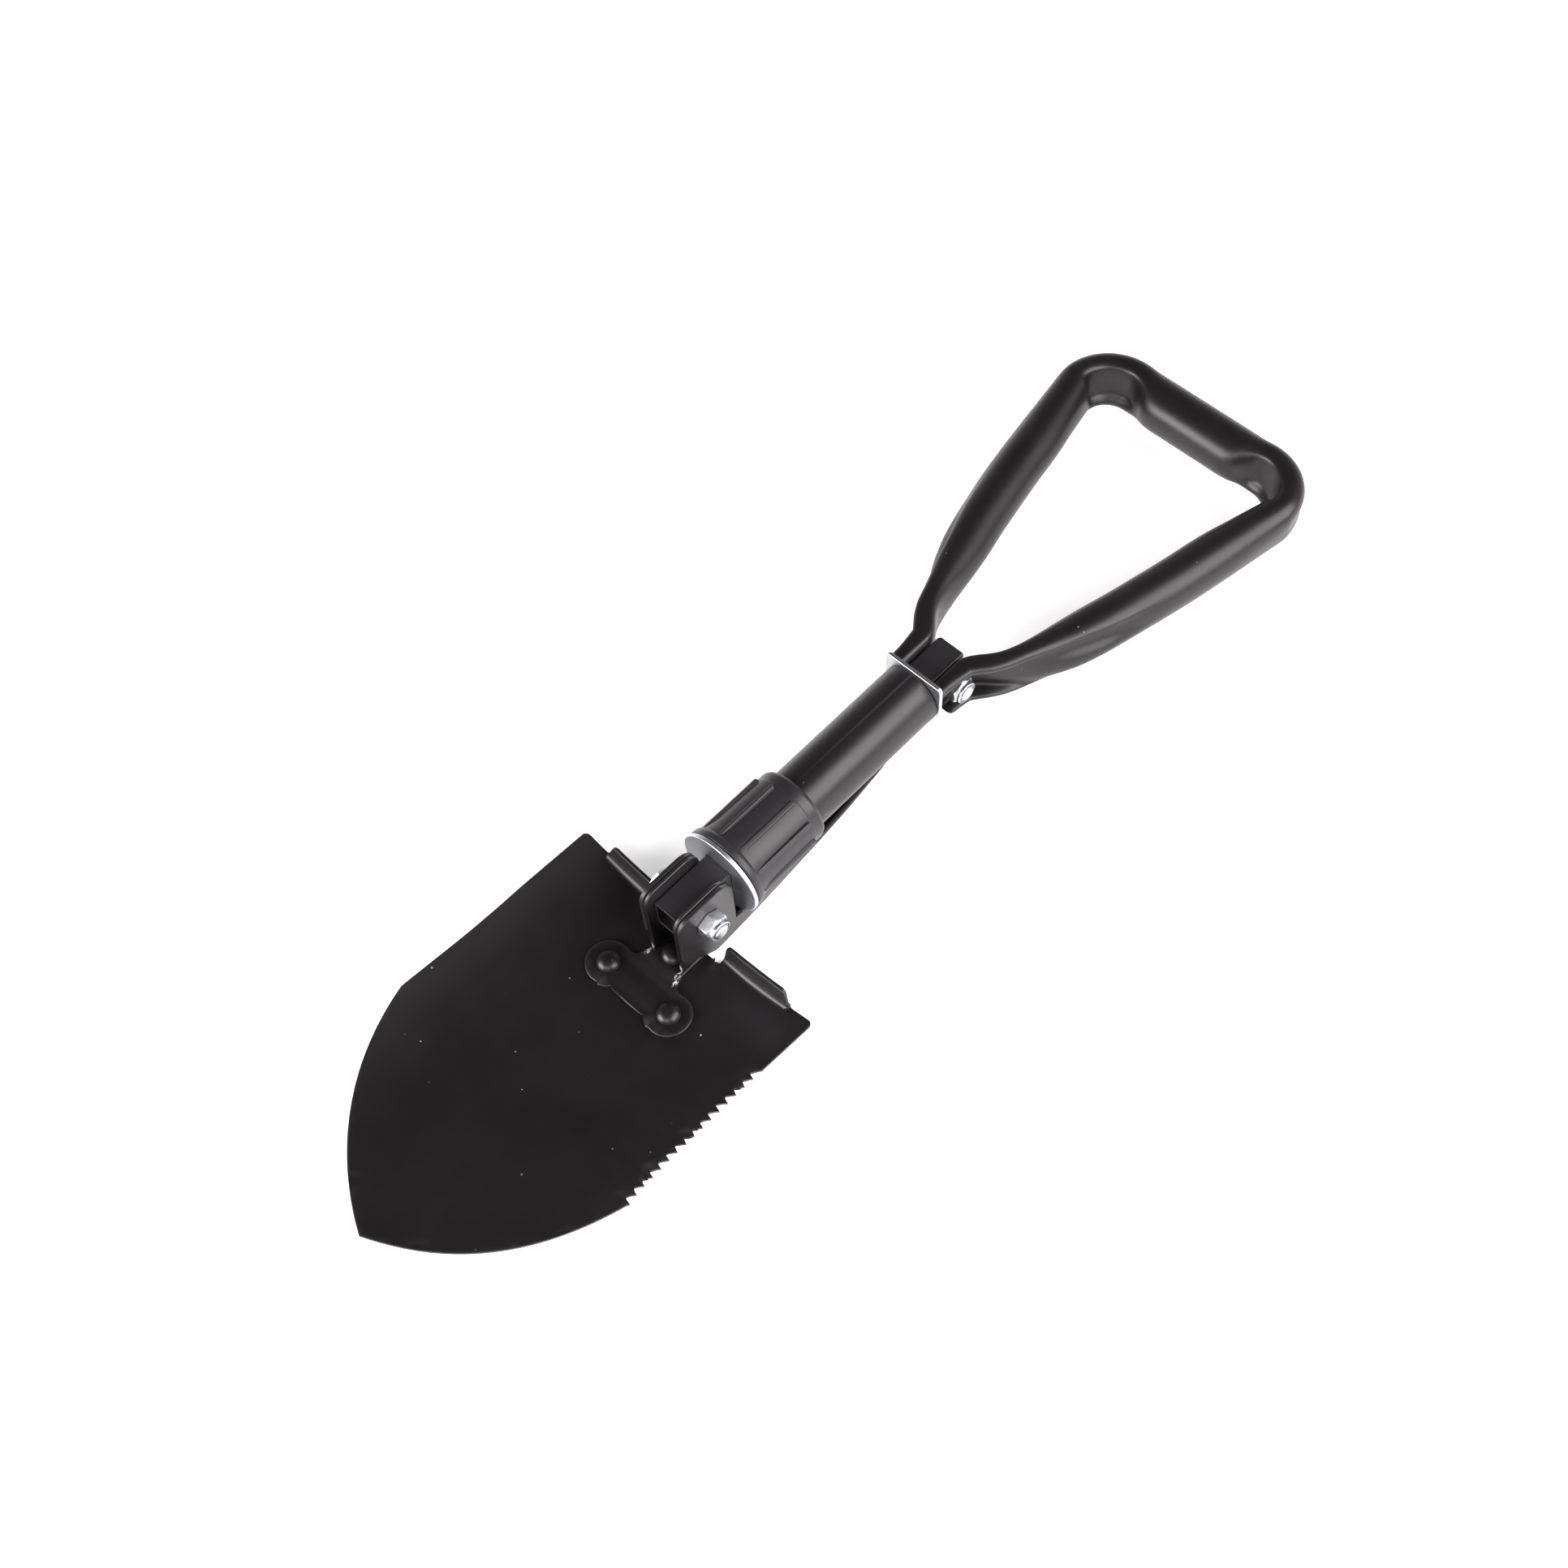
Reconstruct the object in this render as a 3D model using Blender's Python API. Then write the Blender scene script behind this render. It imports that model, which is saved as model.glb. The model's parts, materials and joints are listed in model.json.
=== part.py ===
"""Folding camp shovel with pick and triangular grip, built from its separate pieces.

X runs along the shaft towards the grip, Y across it (both pivots lie along Y), Z up.
Shapes are drawn in the shaft frame: x = 0 on the grip side of the end plate, y = z = 0 on
the tube's axis. SHAFT_ORIGIN then moves them into the part's own frame, whose origin is the
bottom centre of the whole shovel.
"""
import math

import bmesh
import bpy
from mathutils import Vector

MM = 0.001
GAP = 0.3 * MM                      # clearance between pieces that touch or slide
SHAFT_ORIGIN = Vector((61.15, 0, 37.0)) * MM

# Shaft tube and the square plate at its grip end
TUBE_RADIUS = 16.0 * MM
TUBE_BORE = 14.4 * MM
TUBE_FRONT = -124.0 * MM
TUBE_CHAMFER = 0.6 * MM
THREAD_DEPTH = 0.5 * MM             # the threaded length stands this much below the plain tube
PLATE_HALF = 17.1 * MM
PLATE_THICK = 2.0 * MM
PLATE_CORNER = 2.5 * MM

# Core bar, a rectangular box section that runs through the tube from pivot to pivot
BAR_HALF_WIDTH = 7.9 * MM
BAR_HALF_HEIGHT = 9.2 * MM
BAR_WALL = 1.6 * MM
BAR_CORNER = 1.2 * MM
BAR_END_ROUND = 1.8 * MM            # length over which the closed rear end rounds off
BAR_FRONT = -168.5 * MM
BAR_REAR = 27.0 * MM

# Pivots
BLADE_PIVOT_X = -156.0 * MM
GRIP_PIVOT_X = 14.9 * MM
BOLT_RADIUS = 4.0 * MM
BOLT_HOLE = 4.3 * MM
HEX_RADIUS = 7.5 * MM               # across the corners / 2
HEX_CHAMFER = 0.9 * MM              # taken off the corners, radially
HEX_CHAMFER_DROP = 1.6 * MM         # fall of the chamfer's cone out to HEX_CLEAR
HEX_CLEAR = 9.0 * MM                # a radius outside the hexagon
BOLT_HEAD_THICK = 5.3 * MM
NUT_HEX_THICK = 5.4 * MM
NUT_RING_THICK = 2.6 * MM
NUT_RING_RADIUS = 5.9 * MM
INSERT_OUTER = 5.2 * MM
SPACER_RADIUS = 6.2 * MM
CUTTER_REACH = 30.0 * MM            # half length of the cutters across the shaft
BOLT_TIP = 1.0 * MM                 # how far the bolt stands out of its nut

# Sheet metal hinge: bracket ears against the bar, pick cheeks against the ears
SHEET = 2.0 * MM
EAR_THICK = 2.2 * MM
CHEEK_THICK = 2.4 * MM
EAR_INNER = BAR_HALF_WIDTH + GAP
EAR_OUTER = EAR_INNER + EAR_THICK
CHEEK_INNER = EAR_OUTER + GAP
CHEEK_OUTER = CHEEK_INNER + CHEEK_THICK
FLAT = 17.0 * MM                    # pivot to each locking flat: rear, top and front
FRONT_CORNER = 7.5 * MM
REAR_CORNER = 10.0 * MM

# Lock washer and threaded collar, standing one step back from the locking flats
WASHER_FRONT = -135.0 * MM
WASHER_THICK = 2.2 * MM
WASHER_RADIUS = 22.7 * MM
WASHER_EDGE = 0.3 * MM
COLLAR_FRONT = WASHER_FRONT + WASHER_THICK + 0.4 * MM
COLLAR_REAR = -84.5 * MM
COLLAR_BORE = TUBE_RADIUS + GAP
COLLAR_LIP = 3.6 * MM
COLLAR_LIP_BORE = 13.2 * MM
# Outside of the collar's front: radius, distance behind its front face
COLLAR_SWELL = [(21.9 * MM, 0), (22.5 * MM, 0.7 * MM), (22.4 * MM, 3.2 * MM), (21.9 * MM, 4.4 * MM),
                (21.3 * MM, 6 * MM), (20.4 * MM, 14 * MM)]
COLLAR_TAIL = [(19.9 * MM, -91.5 * MM), (19.6 * MM, -86.1 * MM), (18.7 * MM, COLLAR_REAR)]
COLLAR_RIBS = 10
RIB_FRONT = -127.2 * MM
RIB_REAR = -92.5 * MM
RIB_RADIUS = 21.6 * MM
RIB_ROOT_RADIUS = 18.6 * MM
RIB_CREST = (0.4 * MM, 0.5 * MM)    # how far the crest's edge is taken in and down
RIB_HALF_WIDTH = 1.15 * MM
RIB_PHASE = 33.0                    # degrees, from the nut side upward

# Blade, a pressed sheet: flat seat under the bracket, dished sides, rising towards the tip
SEAT_Z = -35.0 * MM                 # top of the seat
SEAT_HALF_WIDTH = 18.0 * MM
DISH_RISE = 10.6 * MM
BLADE_HALF_WIDTH = 75.6 * MM        # at the shoulders
BLADE_REAR_HALF_WIDTH = 74.2 * MM
BLADE_REAR = -152.8 * MM
BLADE_SHOULDER = -268.0 * MM
BLADE_TIP = -358.4 * MM
EDGE_BULGE = 13.9 * MM              # height of each cutting edge's arc over its chord
BEND_START = -200.0 * MM
BEND_LENGTH = 40.0 * MM
BLADE_SLOPE = 0.127
REAR_CORNER_RADIUS = 3.0 * MM
TEETH = 16
TEETH_START = -184.8 * MM
TEETH_END = -269.6 * MM
TOOTH_DEPTH = 3.9 * MM
TOOTH_RAMP = 0.81                   # share of each tooth's pitch taken by its long flank
# Line through the tips of the teeth: x, half width
SAW_LINE = [(TEETH_END, BLADE_HALF_WIDTH), (-262 * MM, 74.2 * MM), (-240 * MM, 72.8 * MM),
            (-205 * MM, 72.2 * MM), (-185 * MM, 72.9 * MM)]
PLAIN_SIDE = (-195 * MM, 75.3 * MM)  # where the plain side edge bends a little
GRID = 14.0 * MM

# Foot treads, two tabs folded up from the blade's rear edge
FOLD_LINE = -156.5 * MM
FOLD_RADIUS = 2.5 * MM
FOLD_ANGLE = math.radians(80)
TREAD_INNER = 18.2 * MM
TREAD_OUTER = 58.0 * MM
TREAD_LENGTH = 12.2 * MM
TREAD_BLEND = 2.6 * MM              # over which the fold dies out beside each tread
CENTRE_EDGE = -157.5 * MM           # blade's rear edge between the treads
RELIEF_RADIUS = 1.75 * MM           # round relief beside each tread
RELIEF_X = -156.4 * MM

# Bracket riveted on the blade's seat
BRACKET_FRONT = -200.0 * MM
BRACKET_REAR = -158.2 * MM
BRACKET_NECK = [(-173.5 * MM, EAR_OUTER), (-176.8 * MM, 11.0 * MM), (-179.3 * MM, 13.0 * MM)]
LOBE_X = -192.0 * MM
LOBE_Y = 19.7 * MM
LOBE_RADIUS = 11.3 * MM
RIVET_HEAD = 5.6 * MM
RIVET_HEIGHT = 3.6 * MM
RIVET_SHANK = 2.6 * MM
RIVET_TAIL = 4.2 * MM
CENTRE_RIVET_X = -168.8 * MM

# Grip, one bent tube with flattened ends
GRIP_TUBE = 12.7 * MM
GRIP_WALL = 1.4 * MM
CROSSBAR_X = 222.4 * MM
CROSSBAR_RADIUS = 13.7 * MM
ROOT_DROP = 2.2 * MM                # how much lower the legs sit than the pivot, at the pivot
GRIP_DROP = 6.6 * MM                # how much lower the crossbar sits than the pivot
ROOT_SQUAT = 0.81                   # height share of the legs' lower half beside the end plate
SQUAT_FADE = (33 * MM, 42 * MM)
LEG_SAG = 1.09                      # height share of the lower half along the legs and crossbar
SAG_RISE = (90 * MM, 150 * MM)
ROOT_FLARE = 2.0 * MM               # how far the root's beads swell outward where the legs part
FLARE_RISE = (3 * MM, 24 * MM)
FLARE_FALL = (26 * MM, 46 * MM)
LEG_CORNER_SHARE = 0.3              # how far the legs take on the corners' section before the bend
LEG_CORNER_RISE = (155 * MM, 190 * MM)
GRIP_BEND = 21.0 * MM
GRIP_END_X = 0.4 * MM
GRIP_WEB_OUTER = 11.9 * MM          # seat of the bolt head and nut on the pressed-in wall
# Centre line of one leg: x, half distance between the legs
LEG_LINE = [(GRIP_END_X, 12.7 * MM), (7 * MM, 12.7 * MM), (14 * MM, 12.7 * MM), (19 * MM, 12.8 * MM),
            (22.5 * MM, 13.6 * MM), (27 * MM, 16.8 * MM), (31 * MM, 20.3 * MM), (37 * MM, 24.6 * MM),
            (46 * MM, 28.8 * MM), (57 * MM, 32.6 * MM), (70 * MM, 36.5 * MM), (84 * MM, 40.2 * MM),
            (100 * MM, 44.2 * MM), (118 * MM, 48.2 * MM), (138 * MM, 52.4 * MM), (160 * MM, 56.4 * MM),
            (176 * MM, 59.1 * MM)]
# Half of each section from its outer middle over the top to its inner middle: outward, up
ROOT_SECTION = [(-1.2, 0), (-1.2, 4.8), (-1.2, 9.5), (1.2, 10.1), (4.0, 11.0), (4.2, 13.5),
                (1.7, 14.8), (-2.0, 14.7), (-3.9, 13.0), (-4.4, 10.0), (-4.4, 5.0), (-4.4, 0)]
CORNER_SECTION = [(10.4, 0), (10.8, 4.2), (10.8, 8.0), (9.3, 11.0), (6.4, 12.9), (3.2, 13.5), (0.4, 13.1),
                  (-1.6, 11.9), (-2.5, 9.8), (-3.1, 6.6), (-3.6, 3.0), (-4.2, -0.6), (-5.2, -3.6),
                  (-7.0, -5.6), (-8.2, -7.4), (-7.8, -9.6), (-5.4, -11.8), (-1.6, -13.0), (3.0, -13.4),
                  (7.2, -12.2), (9.8, -9.0), (10.7, -4.6)]
ROOT_BEADS = [(out, side * up) for out, up in ROOT_SECTION[3:7] for side in (1, -1)]
# Where the pressed root shape has faded out along each leg, for the points of the section in turn
ROOT_FADE_START = 20 * MM
ROOT_FADE_END = [96, 120, 124, 104] + 14 * [84] + [84, 84, 80, 84]

# Pick, a tapering trough under the shaft; each row is x and the value there, root to point
PICK_ROOT = -153.4 * MM
PICK_TIP = 10.0 * MM
PICK_HALF_WIDTH = [(-128 * MM, CHEEK_OUTER - 0.03 * MM), (-88 * MM, 12.5 * MM), (-60 * MM, 10.4 * MM),
                   (-32 * MM, 7.4 * MM), (-10 * MM, 4.0 * MM), (PICK_TIP, 0.8 * MM)]
PICK_RIM = [(-150 * MM, -21.3 * MM), (-134 * MM, -21.6 * MM), (-110 * MM, -23.2 * MM),
            (-86 * MM, -25.0 * MM), (PICK_TIP, -25.8 * MM)]
PICK_SIDE_FOOT = [(-150 * MM, -33.8 * MM), (-110 * MM, -29.6 * MM), (-90 * MM, -26.6 * MM),
                  (PICK_TIP, -26.0 * MM)]
PICK_WEB = [(-150 * MM, -36.2 * MM), (-110 * MM, -35.8 * MM), (-60 * MM, -34.0 * MM),
            (-20 * MM, -31.2 * MM), (PICK_TIP, -27.4 * MM)]
PICK_WEB_HALF = [(-150 * MM, 9.5 * MM), (-110 * MM, 7.0 * MM), (-60 * MM, 3.2 * MM), (PICK_TIP, 0.3 * MM)]

ROUND_STEPS = 40
SHARP_ANGLE = math.radians(35)      # edges that turn further than this are shaded sharp


# ---------------------------------------------------------------- helpers

def clear_scene():
    for item in list(bpy.data.objects):
        bpy.data.objects.remove(item, do_unlink=True)


def make_material(name, colour, roughness, metallic):
    material = bpy.data.materials.new(name)
    material.use_nodes = True
    shader = material.node_tree.nodes["Principled BSDF"]
    shader.inputs["Base Color"].default_value = (*colour, 1.0)
    shader.inputs["Roughness"].default_value = roughness
    shader.inputs["Metallic"].default_value = metallic
    material.diffuse_color = (*colour, 1.0)
    return material


def finish_bmesh(bm):
    bmesh.ops.remove_doubles(bm, verts=bm.verts, dist=1e-6)
    bmesh.ops.triangulate(bm, faces=[face for face in bm.faces if len(face.verts) > 4])
    bmesh.ops.recalc_face_normals(bm, faces=bm.faces)


def add_part(name, bm, material, origin=(0, 0, 0)):
    """Turn a bmesh drawn in the shaft frame into a named object with its own origin."""
    finish_bmesh(bm)
    origin = Vector(origin)
    bmesh.ops.translate(bm, verts=bm.verts, vec=-origin)
    mesh = bpy.data.meshes.new(name)
    bm.to_mesh(mesh)
    bm.free()
    mesh.shade_smooth()
    mesh.set_sharp_from_angle(angle=SHARP_ANGLE)
    part = bpy.data.objects.new(name, mesh)
    part.location = SHAFT_ORIGIN + origin
    part.data.materials.append(material)
    bpy.context.collection.objects.link(part)
    return part


def combine(operation, base, *others):
    """Boolean the other bmeshes into or out of the base and return the result."""
    holders = []
    for index, bm in enumerate((base, *others)):
        finish_bmesh(bm)
        mesh = bpy.data.meshes.new(f"temporary_{index}")
        bm.to_mesh(mesh)
        bm.free()
        holder = bpy.data.objects.new(mesh.name, mesh)
        bpy.context.collection.objects.link(holder)
        holders.append(holder)
    for other in holders[1:]:
        modifier = holders[0].modifiers.new("combine", "BOOLEAN")
        modifier.operation = operation
        modifier.solver = "EXACT"
        modifier.object = other
    depsgraph = bpy.context.evaluated_depsgraph_get()
    result = bmesh.new()
    result.from_mesh(holders[0].evaluated_get(depsgraph).to_mesh())
    for holder in holders:
        mesh = holder.data
        bpy.data.objects.remove(holder)
        bpy.data.meshes.remove(mesh)
    return result


def union(base, *others):
    return combine("UNION", base, *others)


def difference(base, *others):
    return combine("DIFFERENCE", base, *others)


def arc(centre, radius, start, stop, steps):
    """Points of a plane arc; angles in degrees."""
    points = []
    for index in range(steps + 1):
        angle = math.radians(start + (stop - start) * index / steps)
        points.append((centre[0] + radius * math.cos(angle), centre[1] + radius * math.sin(angle)))
    return points


def mirrored(half):
    """Close a half outline, drawn at y >= 0 from the rear to the front, with its mirror."""
    return half + [(x, -y) for x, y in reversed(half) if y > 0]


def prism(outline, low, high, place):
    """Extrude a plane outline between two levels; place(u, v, level) gives each point."""
    bm = bmesh.new()
    bottom = [bm.verts.new(place(u, v, low)) for u, v in outline]
    top = [bm.verts.new(place(u, v, high)) for u, v in outline]
    bm.faces.new(bottom)
    bm.faces.new(top)
    for index in range(len(outline)):
        following = (index + 1) % len(outline)
        bm.faces.new((bottom[index], bottom[following], top[following], top[index]))
    return bm


def along_x(u, v, level):
    return (level, u, v)


def along_y(u, v, level):
    return (u, level, v)


def loft(loops):
    """Skin equal-length closed loops of points, one after another."""
    bm = bmesh.new()
    rings = [[bm.verts.new(point) for point in loop] for loop in loops]
    size = len(rings[0])
    for near, far in zip(rings, rings[1:]):
        for index in range(size):
            following = (index + 1) % size
            bm.faces.new((near[index], near[following], far[following], far[index]))
    bm.faces.new(rings[0])
    bm.faces.new(rings[-1])
    return bm


def lathe(profile, place, steps=ROUND_STEPS, phase=0.0):
    """Turn a closed (radius, height) profile; place(u, v, height) gives each point."""
    bm = bmesh.new()
    rings = []
    for radius, height in profile:
        if radius == 0:
            rings.append([bm.verts.new(place(0, 0, height))])
            continue
        ring = []
        for index in range(steps):
            angle = 2 * math.pi * index / steps + phase
            ring.append(bm.verts.new(place(radius * math.cos(angle), radius * math.sin(angle), height)))
        rings.append(ring)
    for near, far in zip(rings, rings[1:] + rings[:1]):
        join_rings(bm, near, far)
    return bm


def join_rings(bm, near, far):
    if len(near) == 1 and len(far) == 1:
        return
    for index in range(max(len(near), len(far))):
        following = index + 1
        corners = [near[index % len(near)], near[following % len(near)],
                   far[following % len(far)], far[index % len(far)]]
        unique = list(dict.fromkeys(corners))
        bm.faces.new(unique)


def smoothstep(value, low, high):
    share = min(max((value - low) / (high - low), 0.0), 1.0)
    return share * share * (3 - 2 * share)


def interpolate(table, x):
    """Read a table of (x, value) rows, in rising x, with straight lines between them."""
    if x <= table[0][0]:
        return table[0][1]
    for (x0, value0), (x1, value1) in zip(table, table[1:]):
        if x <= x1:
            return value0 + (value1 - value0) * (x - x0) / (x1 - x0)
    return table[-1][1]


# ---------------------------------------------------------------- blade and bracket

def blade_rise(x, y):
    """Height of the blade's top surface over its flat seat."""
    beyond_seat = max(abs(y) - SEAT_HALF_WIDTH, 0) / (BLADE_HALF_WIDTH - SEAT_HALF_WIDTH)
    run = BEND_START - x
    bend = min(max(run, 0), BEND_LENGTH)
    climb = BLADE_SLOPE * (bend * bend / (2 * BEND_LENGTH) + max(run - BEND_LENGTH, 0))
    return DISH_RISE * beyond_seat ** 2 + climb


def blade_point(x, y, depth):
    """Place a point of the flat blank, depth below its top surface, on the pressed blade."""
    folded = max(x - FOLD_LINE, 0)
    share = 1 - smoothstep(abs(y), TREAD_OUTER, TREAD_OUTER + TREAD_BLEND)
    if folded == 0 or share < 0.02:
        return (x, y, SEAT_Z + blade_rise(x, y) - depth)
    radius = FOLD_RADIUS / share
    angle = min(folded / radius, FOLD_ANGLE * share)
    straight = folded - radius * angle
    base = SEAT_Z + blade_rise(FOLD_LINE, y) + radius
    return (FOLD_LINE + (radius + depth) * math.sin(angle) + straight * math.cos(angle), y,
            base - (radius + depth) * math.cos(angle) + straight * math.sin(angle))


def pressed_sheet(outline, thickness, place, cuts_x, cuts_y):
    """Cut a flat outline into cells, give it thickness and press it into shape."""
    bm = bmesh.new()
    bm.faces.new([bm.verts.new((x, y, 0)) for x, y in outline])
    for position, normal in [(x, (1, 0, 0)) for x in cuts_x] + [(y, (0, 1, 0)) for y in cuts_y]:
        point = Vector(normal) * position
        bmesh.ops.bisect_plane(bm, geom=bm.verts[:] + bm.edges[:] + bm.faces[:],
                               plane_co=point, plane_no=normal, dist=1e-6)
    bmesh.ops.triangulate(bm, faces=bm.faces[:])
    top_faces = bm.faces[:]
    extruded = bmesh.ops.extrude_face_region(bm, geom=top_faces, use_keep_orig=True)
    lower = [item for item in extruded["geom"] if isinstance(item, bmesh.types.BMVert)]
    lower_set = set(lower)
    for vert in bm.verts:
        depth = thickness if vert in lower_set else 0.0
        vert.co = Vector(place(vert.co.x, vert.co.y, depth))
    return bm


def saw_edge():
    """Outline of the saw teeth, from the rear forward, as (x, half width) points."""
    pitch = (TEETH_START - TEETH_END) / TEETH
    points = []
    for index in range(TEETH):
        tip = TEETH_START - index * pitch
        valley = tip - TOOTH_RAMP * pitch
        points.append((tip, interpolate(SAW_LINE, tip)))
        points.append((valley, interpolate(SAW_LINE, valley) - TOOTH_DEPTH))
    points.append((TEETH_END, interpolate(SAW_LINE, TEETH_END)))
    return points


def cutting_edge():
    """Arc from a shoulder to the tip, both ends included."""
    start = Vector((BLADE_SHOULDER, BLADE_HALF_WIDTH))
    stop = Vector((BLADE_TIP, 0))
    chord = stop - start
    outward = Vector((chord.y, -chord.x)).normalized()
    steps = 16
    points = []
    for index in range(steps + 1):
        share = index / steps
        bulge = EDGE_BULGE * 4 * share * (1 - share)
        point = start + chord * share + outward * bulge
        points.append((point.x, point.y))
    return points


def blade_half(side_points):
    """Blank of one half of the blade, from the middle of its rear edge to the tip."""
    tread_top = FOLD_LINE + TREAD_LENGTH
    corner_x = BLADE_REAR - REAR_CORNER_RADIUS
    corner_y = BLADE_REAR_HALF_WIDTH - REAR_CORNER_RADIUS
    half = [(CENTRE_EDGE, 0), (CENTRE_EDGE, TREAD_INNER - 2 * RELIEF_RADIUS)]
    half += arc((RELIEF_X, TREAD_INNER - RELIEF_RADIUS), RELIEF_RADIUS, 270, 90, 5)
    half += [(FOLD_LINE + 0.6 * MM, TREAD_INNER), (tread_top - 2 * MM, TREAD_INNER + 0.5 * MM)]
    half += [(tread_top - 0.5 * MM, TREAD_INNER + 1.2 * MM), (tread_top, TREAD_INNER + 3 * MM)]
    half += [(tread_top, TREAD_OUTER - 5.0 * MM), (tread_top - 0.6 * MM, TREAD_OUTER - 3.8 * MM)]
    half += [(tread_top - 2.2 * MM, TREAD_OUTER - 3.0 * MM), (BLADE_REAR + MM, TREAD_OUTER)]
    half += [(BLADE_REAR + 0.3 * MM, TREAD_OUTER + 0.3 * MM), (BLADE_REAR, TREAD_OUTER + MM)]
    half += arc((corner_x, corner_y), REAR_CORNER_RADIUS, 0, 90, 5)
    return half + side_points


def blade_outline():
    """Blank of the whole blade: plain edge at +y, saw edge at -y."""
    plain = blade_half([PLAIN_SIDE] + cutting_edge())
    saw = blade_half(saw_edge() + cutting_edge()[1:])
    return plain + [(x, -y) for x, y in reversed(saw) if y > 0]


def rivet_places():
    return {"rivet_left": (LOBE_X, LOBE_Y), "rivet_right": (LOBE_X, -LOBE_Y),
            "rivet_centre": (CENTRE_RIVET_X, 0.0)}


def seat_height(x, y):
    return SEAT_Z + blade_rise(x, y)


def rivet_hole(x, y, radius, tail_radius):
    """Cutter for one rivet: a straight hole with a flush cone at the blade's underside."""
    seat = seat_height(x, y)
    profile = [(0, seat + 6 * MM), (radius, seat + 6 * MM), (radius, seat - 0.3 * MM),
               (tail_radius, seat - SHEET), (tail_radius, seat - SHEET - MM), (0, seat - SHEET - MM)]
    return lathe(profile, lambda u, v, h: (x + u, y + v, h), steps=20)


def build_blade(material):
    count_x = round((BLADE_REAR - BLADE_TIP) / GRID)
    cuts_x = [BLADE_REAR - 0.3 * MM - index * GRID for index in range(1, count_x)]
    cuts_x += [FOLD_LINE + FOLD_RADIUS * FOLD_ANGLE * share for share in (0, 0.33, 0.66, 1)]
    cuts_y = [index * GRID for index in range(-5, 6)]
    cuts_y += [side * (TREAD_OUTER + share * TREAD_BLEND) for side in (-1, 1) for share in (0, 0.5, 1)]
    bm = pressed_sheet(blade_outline(), SHEET, blade_point, cuts_x, cuts_y)
    holes = [rivet_hole(x, y, RIVET_SHANK + GAP, RIVET_TAIL + GAP) for x, y in rivet_places().values()]
    bm = difference(bm, *holes)
    add_part("blade", bm, material, (BLADE_PIVOT_X, 0, 0))


def bracket_base_outline():
    half = [(BRACKET_REAR, 0), (BRACKET_REAR, EAR_OUTER)] + BRACKET_NECK
    half += arc((LOBE_X, LOBE_Y), LOBE_RADIUS, -17, 225, 18)
    half += [(BRACKET_FRONT, 0)]
    return mirrored(half)


def hinge_top(rear_low):
    """Top of an ear or cheek about the pivot: front flat, top flat, rear flat."""
    points = [(FLAT, rear_low)]
    points += arc((FLAT - REAR_CORNER, FLAT - REAR_CORNER), REAR_CORNER, 0, 90, 6)
    points += arc((FRONT_CORNER - FLAT, FLAT - FRONT_CORNER), FRONT_CORNER, 90, 180, 6)
    return points


def about_blade_pivot(points):
    return [(BLADE_PIVOT_X + x, z) for x, z in points]


def ear_outline():
    foot = SEAT_Z + GAP + 0.5 * SHEET
    rear_foot = BRACKET_REAR - BLADE_PIVOT_X
    points = hinge_top(-8 * MM) + [(-FLAT, foot), (rear_foot, foot)]
    points += [(4 * MM, -26 * MM), (14 * MM, -14 * MM)]
    return about_blade_pivot(points)


def build_bracket(material):
    def base_point(x, y, depth):
        return (x, y, seat_height(x, y) + GAP + SHEET - depth)

    base = pressed_sheet(bracket_base_outline(), SHEET, base_point, [LOBE_X],
                         [-26 * MM, -18 * MM, 18 * MM, 26 * MM])
    ears = []
    for side in (1, -1):
        low, high = sorted((side * EAR_INNER, side * (EAR_OUTER - 0.02 * MM)))
        ears.append(prism(ear_outline(), low, high, along_y))
    bm = union(base, *ears)
    cutters = [rivet_hole(x, y, RIVET_SHANK + GAP, RIVET_SHANK + GAP) for x, y in rivet_places().values()]
    cutters.append(pivot_cutter(BLADE_PIVOT_X))
    bm = difference(bm, *cutters)
    add_part("blade_bracket", bm, material, (BLADE_PIVOT_X, 0, 0))


def build_rivets(material):
    for name, (x, y) in rivet_places().items():
        seat = seat_height(x, y)
        head = seat + 2 * GAP + SHEET
        profile = [(0, seat - SHEET), (RIVET_TAIL, seat - SHEET), (RIVET_SHANK, seat - 0.3 * MM),
                   (RIVET_SHANK, head), (RIVET_HEAD, head)]
        for step in range(1, 6):
            angle = math.pi / 2 * step / 6
            profile.append((RIVET_HEAD * math.cos(angle), head + RIVET_HEIGHT * math.sin(angle)))
        profile.append((0, head + RIVET_HEIGHT))
        bm = lathe(profile, lambda u, v, h: (x + u, y + v, h), steps=24)
        add_part(name, bm, material, (BLADE_PIVOT_X, 0, 0))


# ---------------------------------------------------------------- pick

def pick_section(x):
    """Closed trough section at x, outer wall first, then the inner wall back."""
    half = interpolate(PICK_HALF_WIDTH, x)
    rim = interpolate(PICK_RIM, x)
    foot = interpolate(PICK_SIDE_FOOT, x)
    web = interpolate(PICK_WEB, x)
    web_half = min(interpolate(PICK_WEB_HALF, x), 0.8 * half)
    knee = ((0.62 * half + 0.38 * web_half), 0.30 * foot + 0.70 * web)
    outer = [(half, rim), (half, foot), knee, (web_half, web), (0, web)]
    depth = rim - web
    inner_half = max(half - SHEET, 0.25 * half)
    inner_web = min(web + SHEET, rim - 0.2 * depth)
    scale = inner_half / half
    inner = [(inner_half, rim), (inner_half, max(foot + 0.4 * MM, inner_web + 0.6 * (rim - inner_web))),
             (knee[0] * scale, inner_web + 0.25 * (rim - inner_web)),
             (web_half * scale, inner_web), (0, inner_web)]
    loop = outer + [(-y, z) for y, z in reversed(outer[:-1])]
    loop += [(-y, z) for y, z in inner] + list(reversed(inner[:-1]))
    return [(x, y, z) for y, z in loop]


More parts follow.
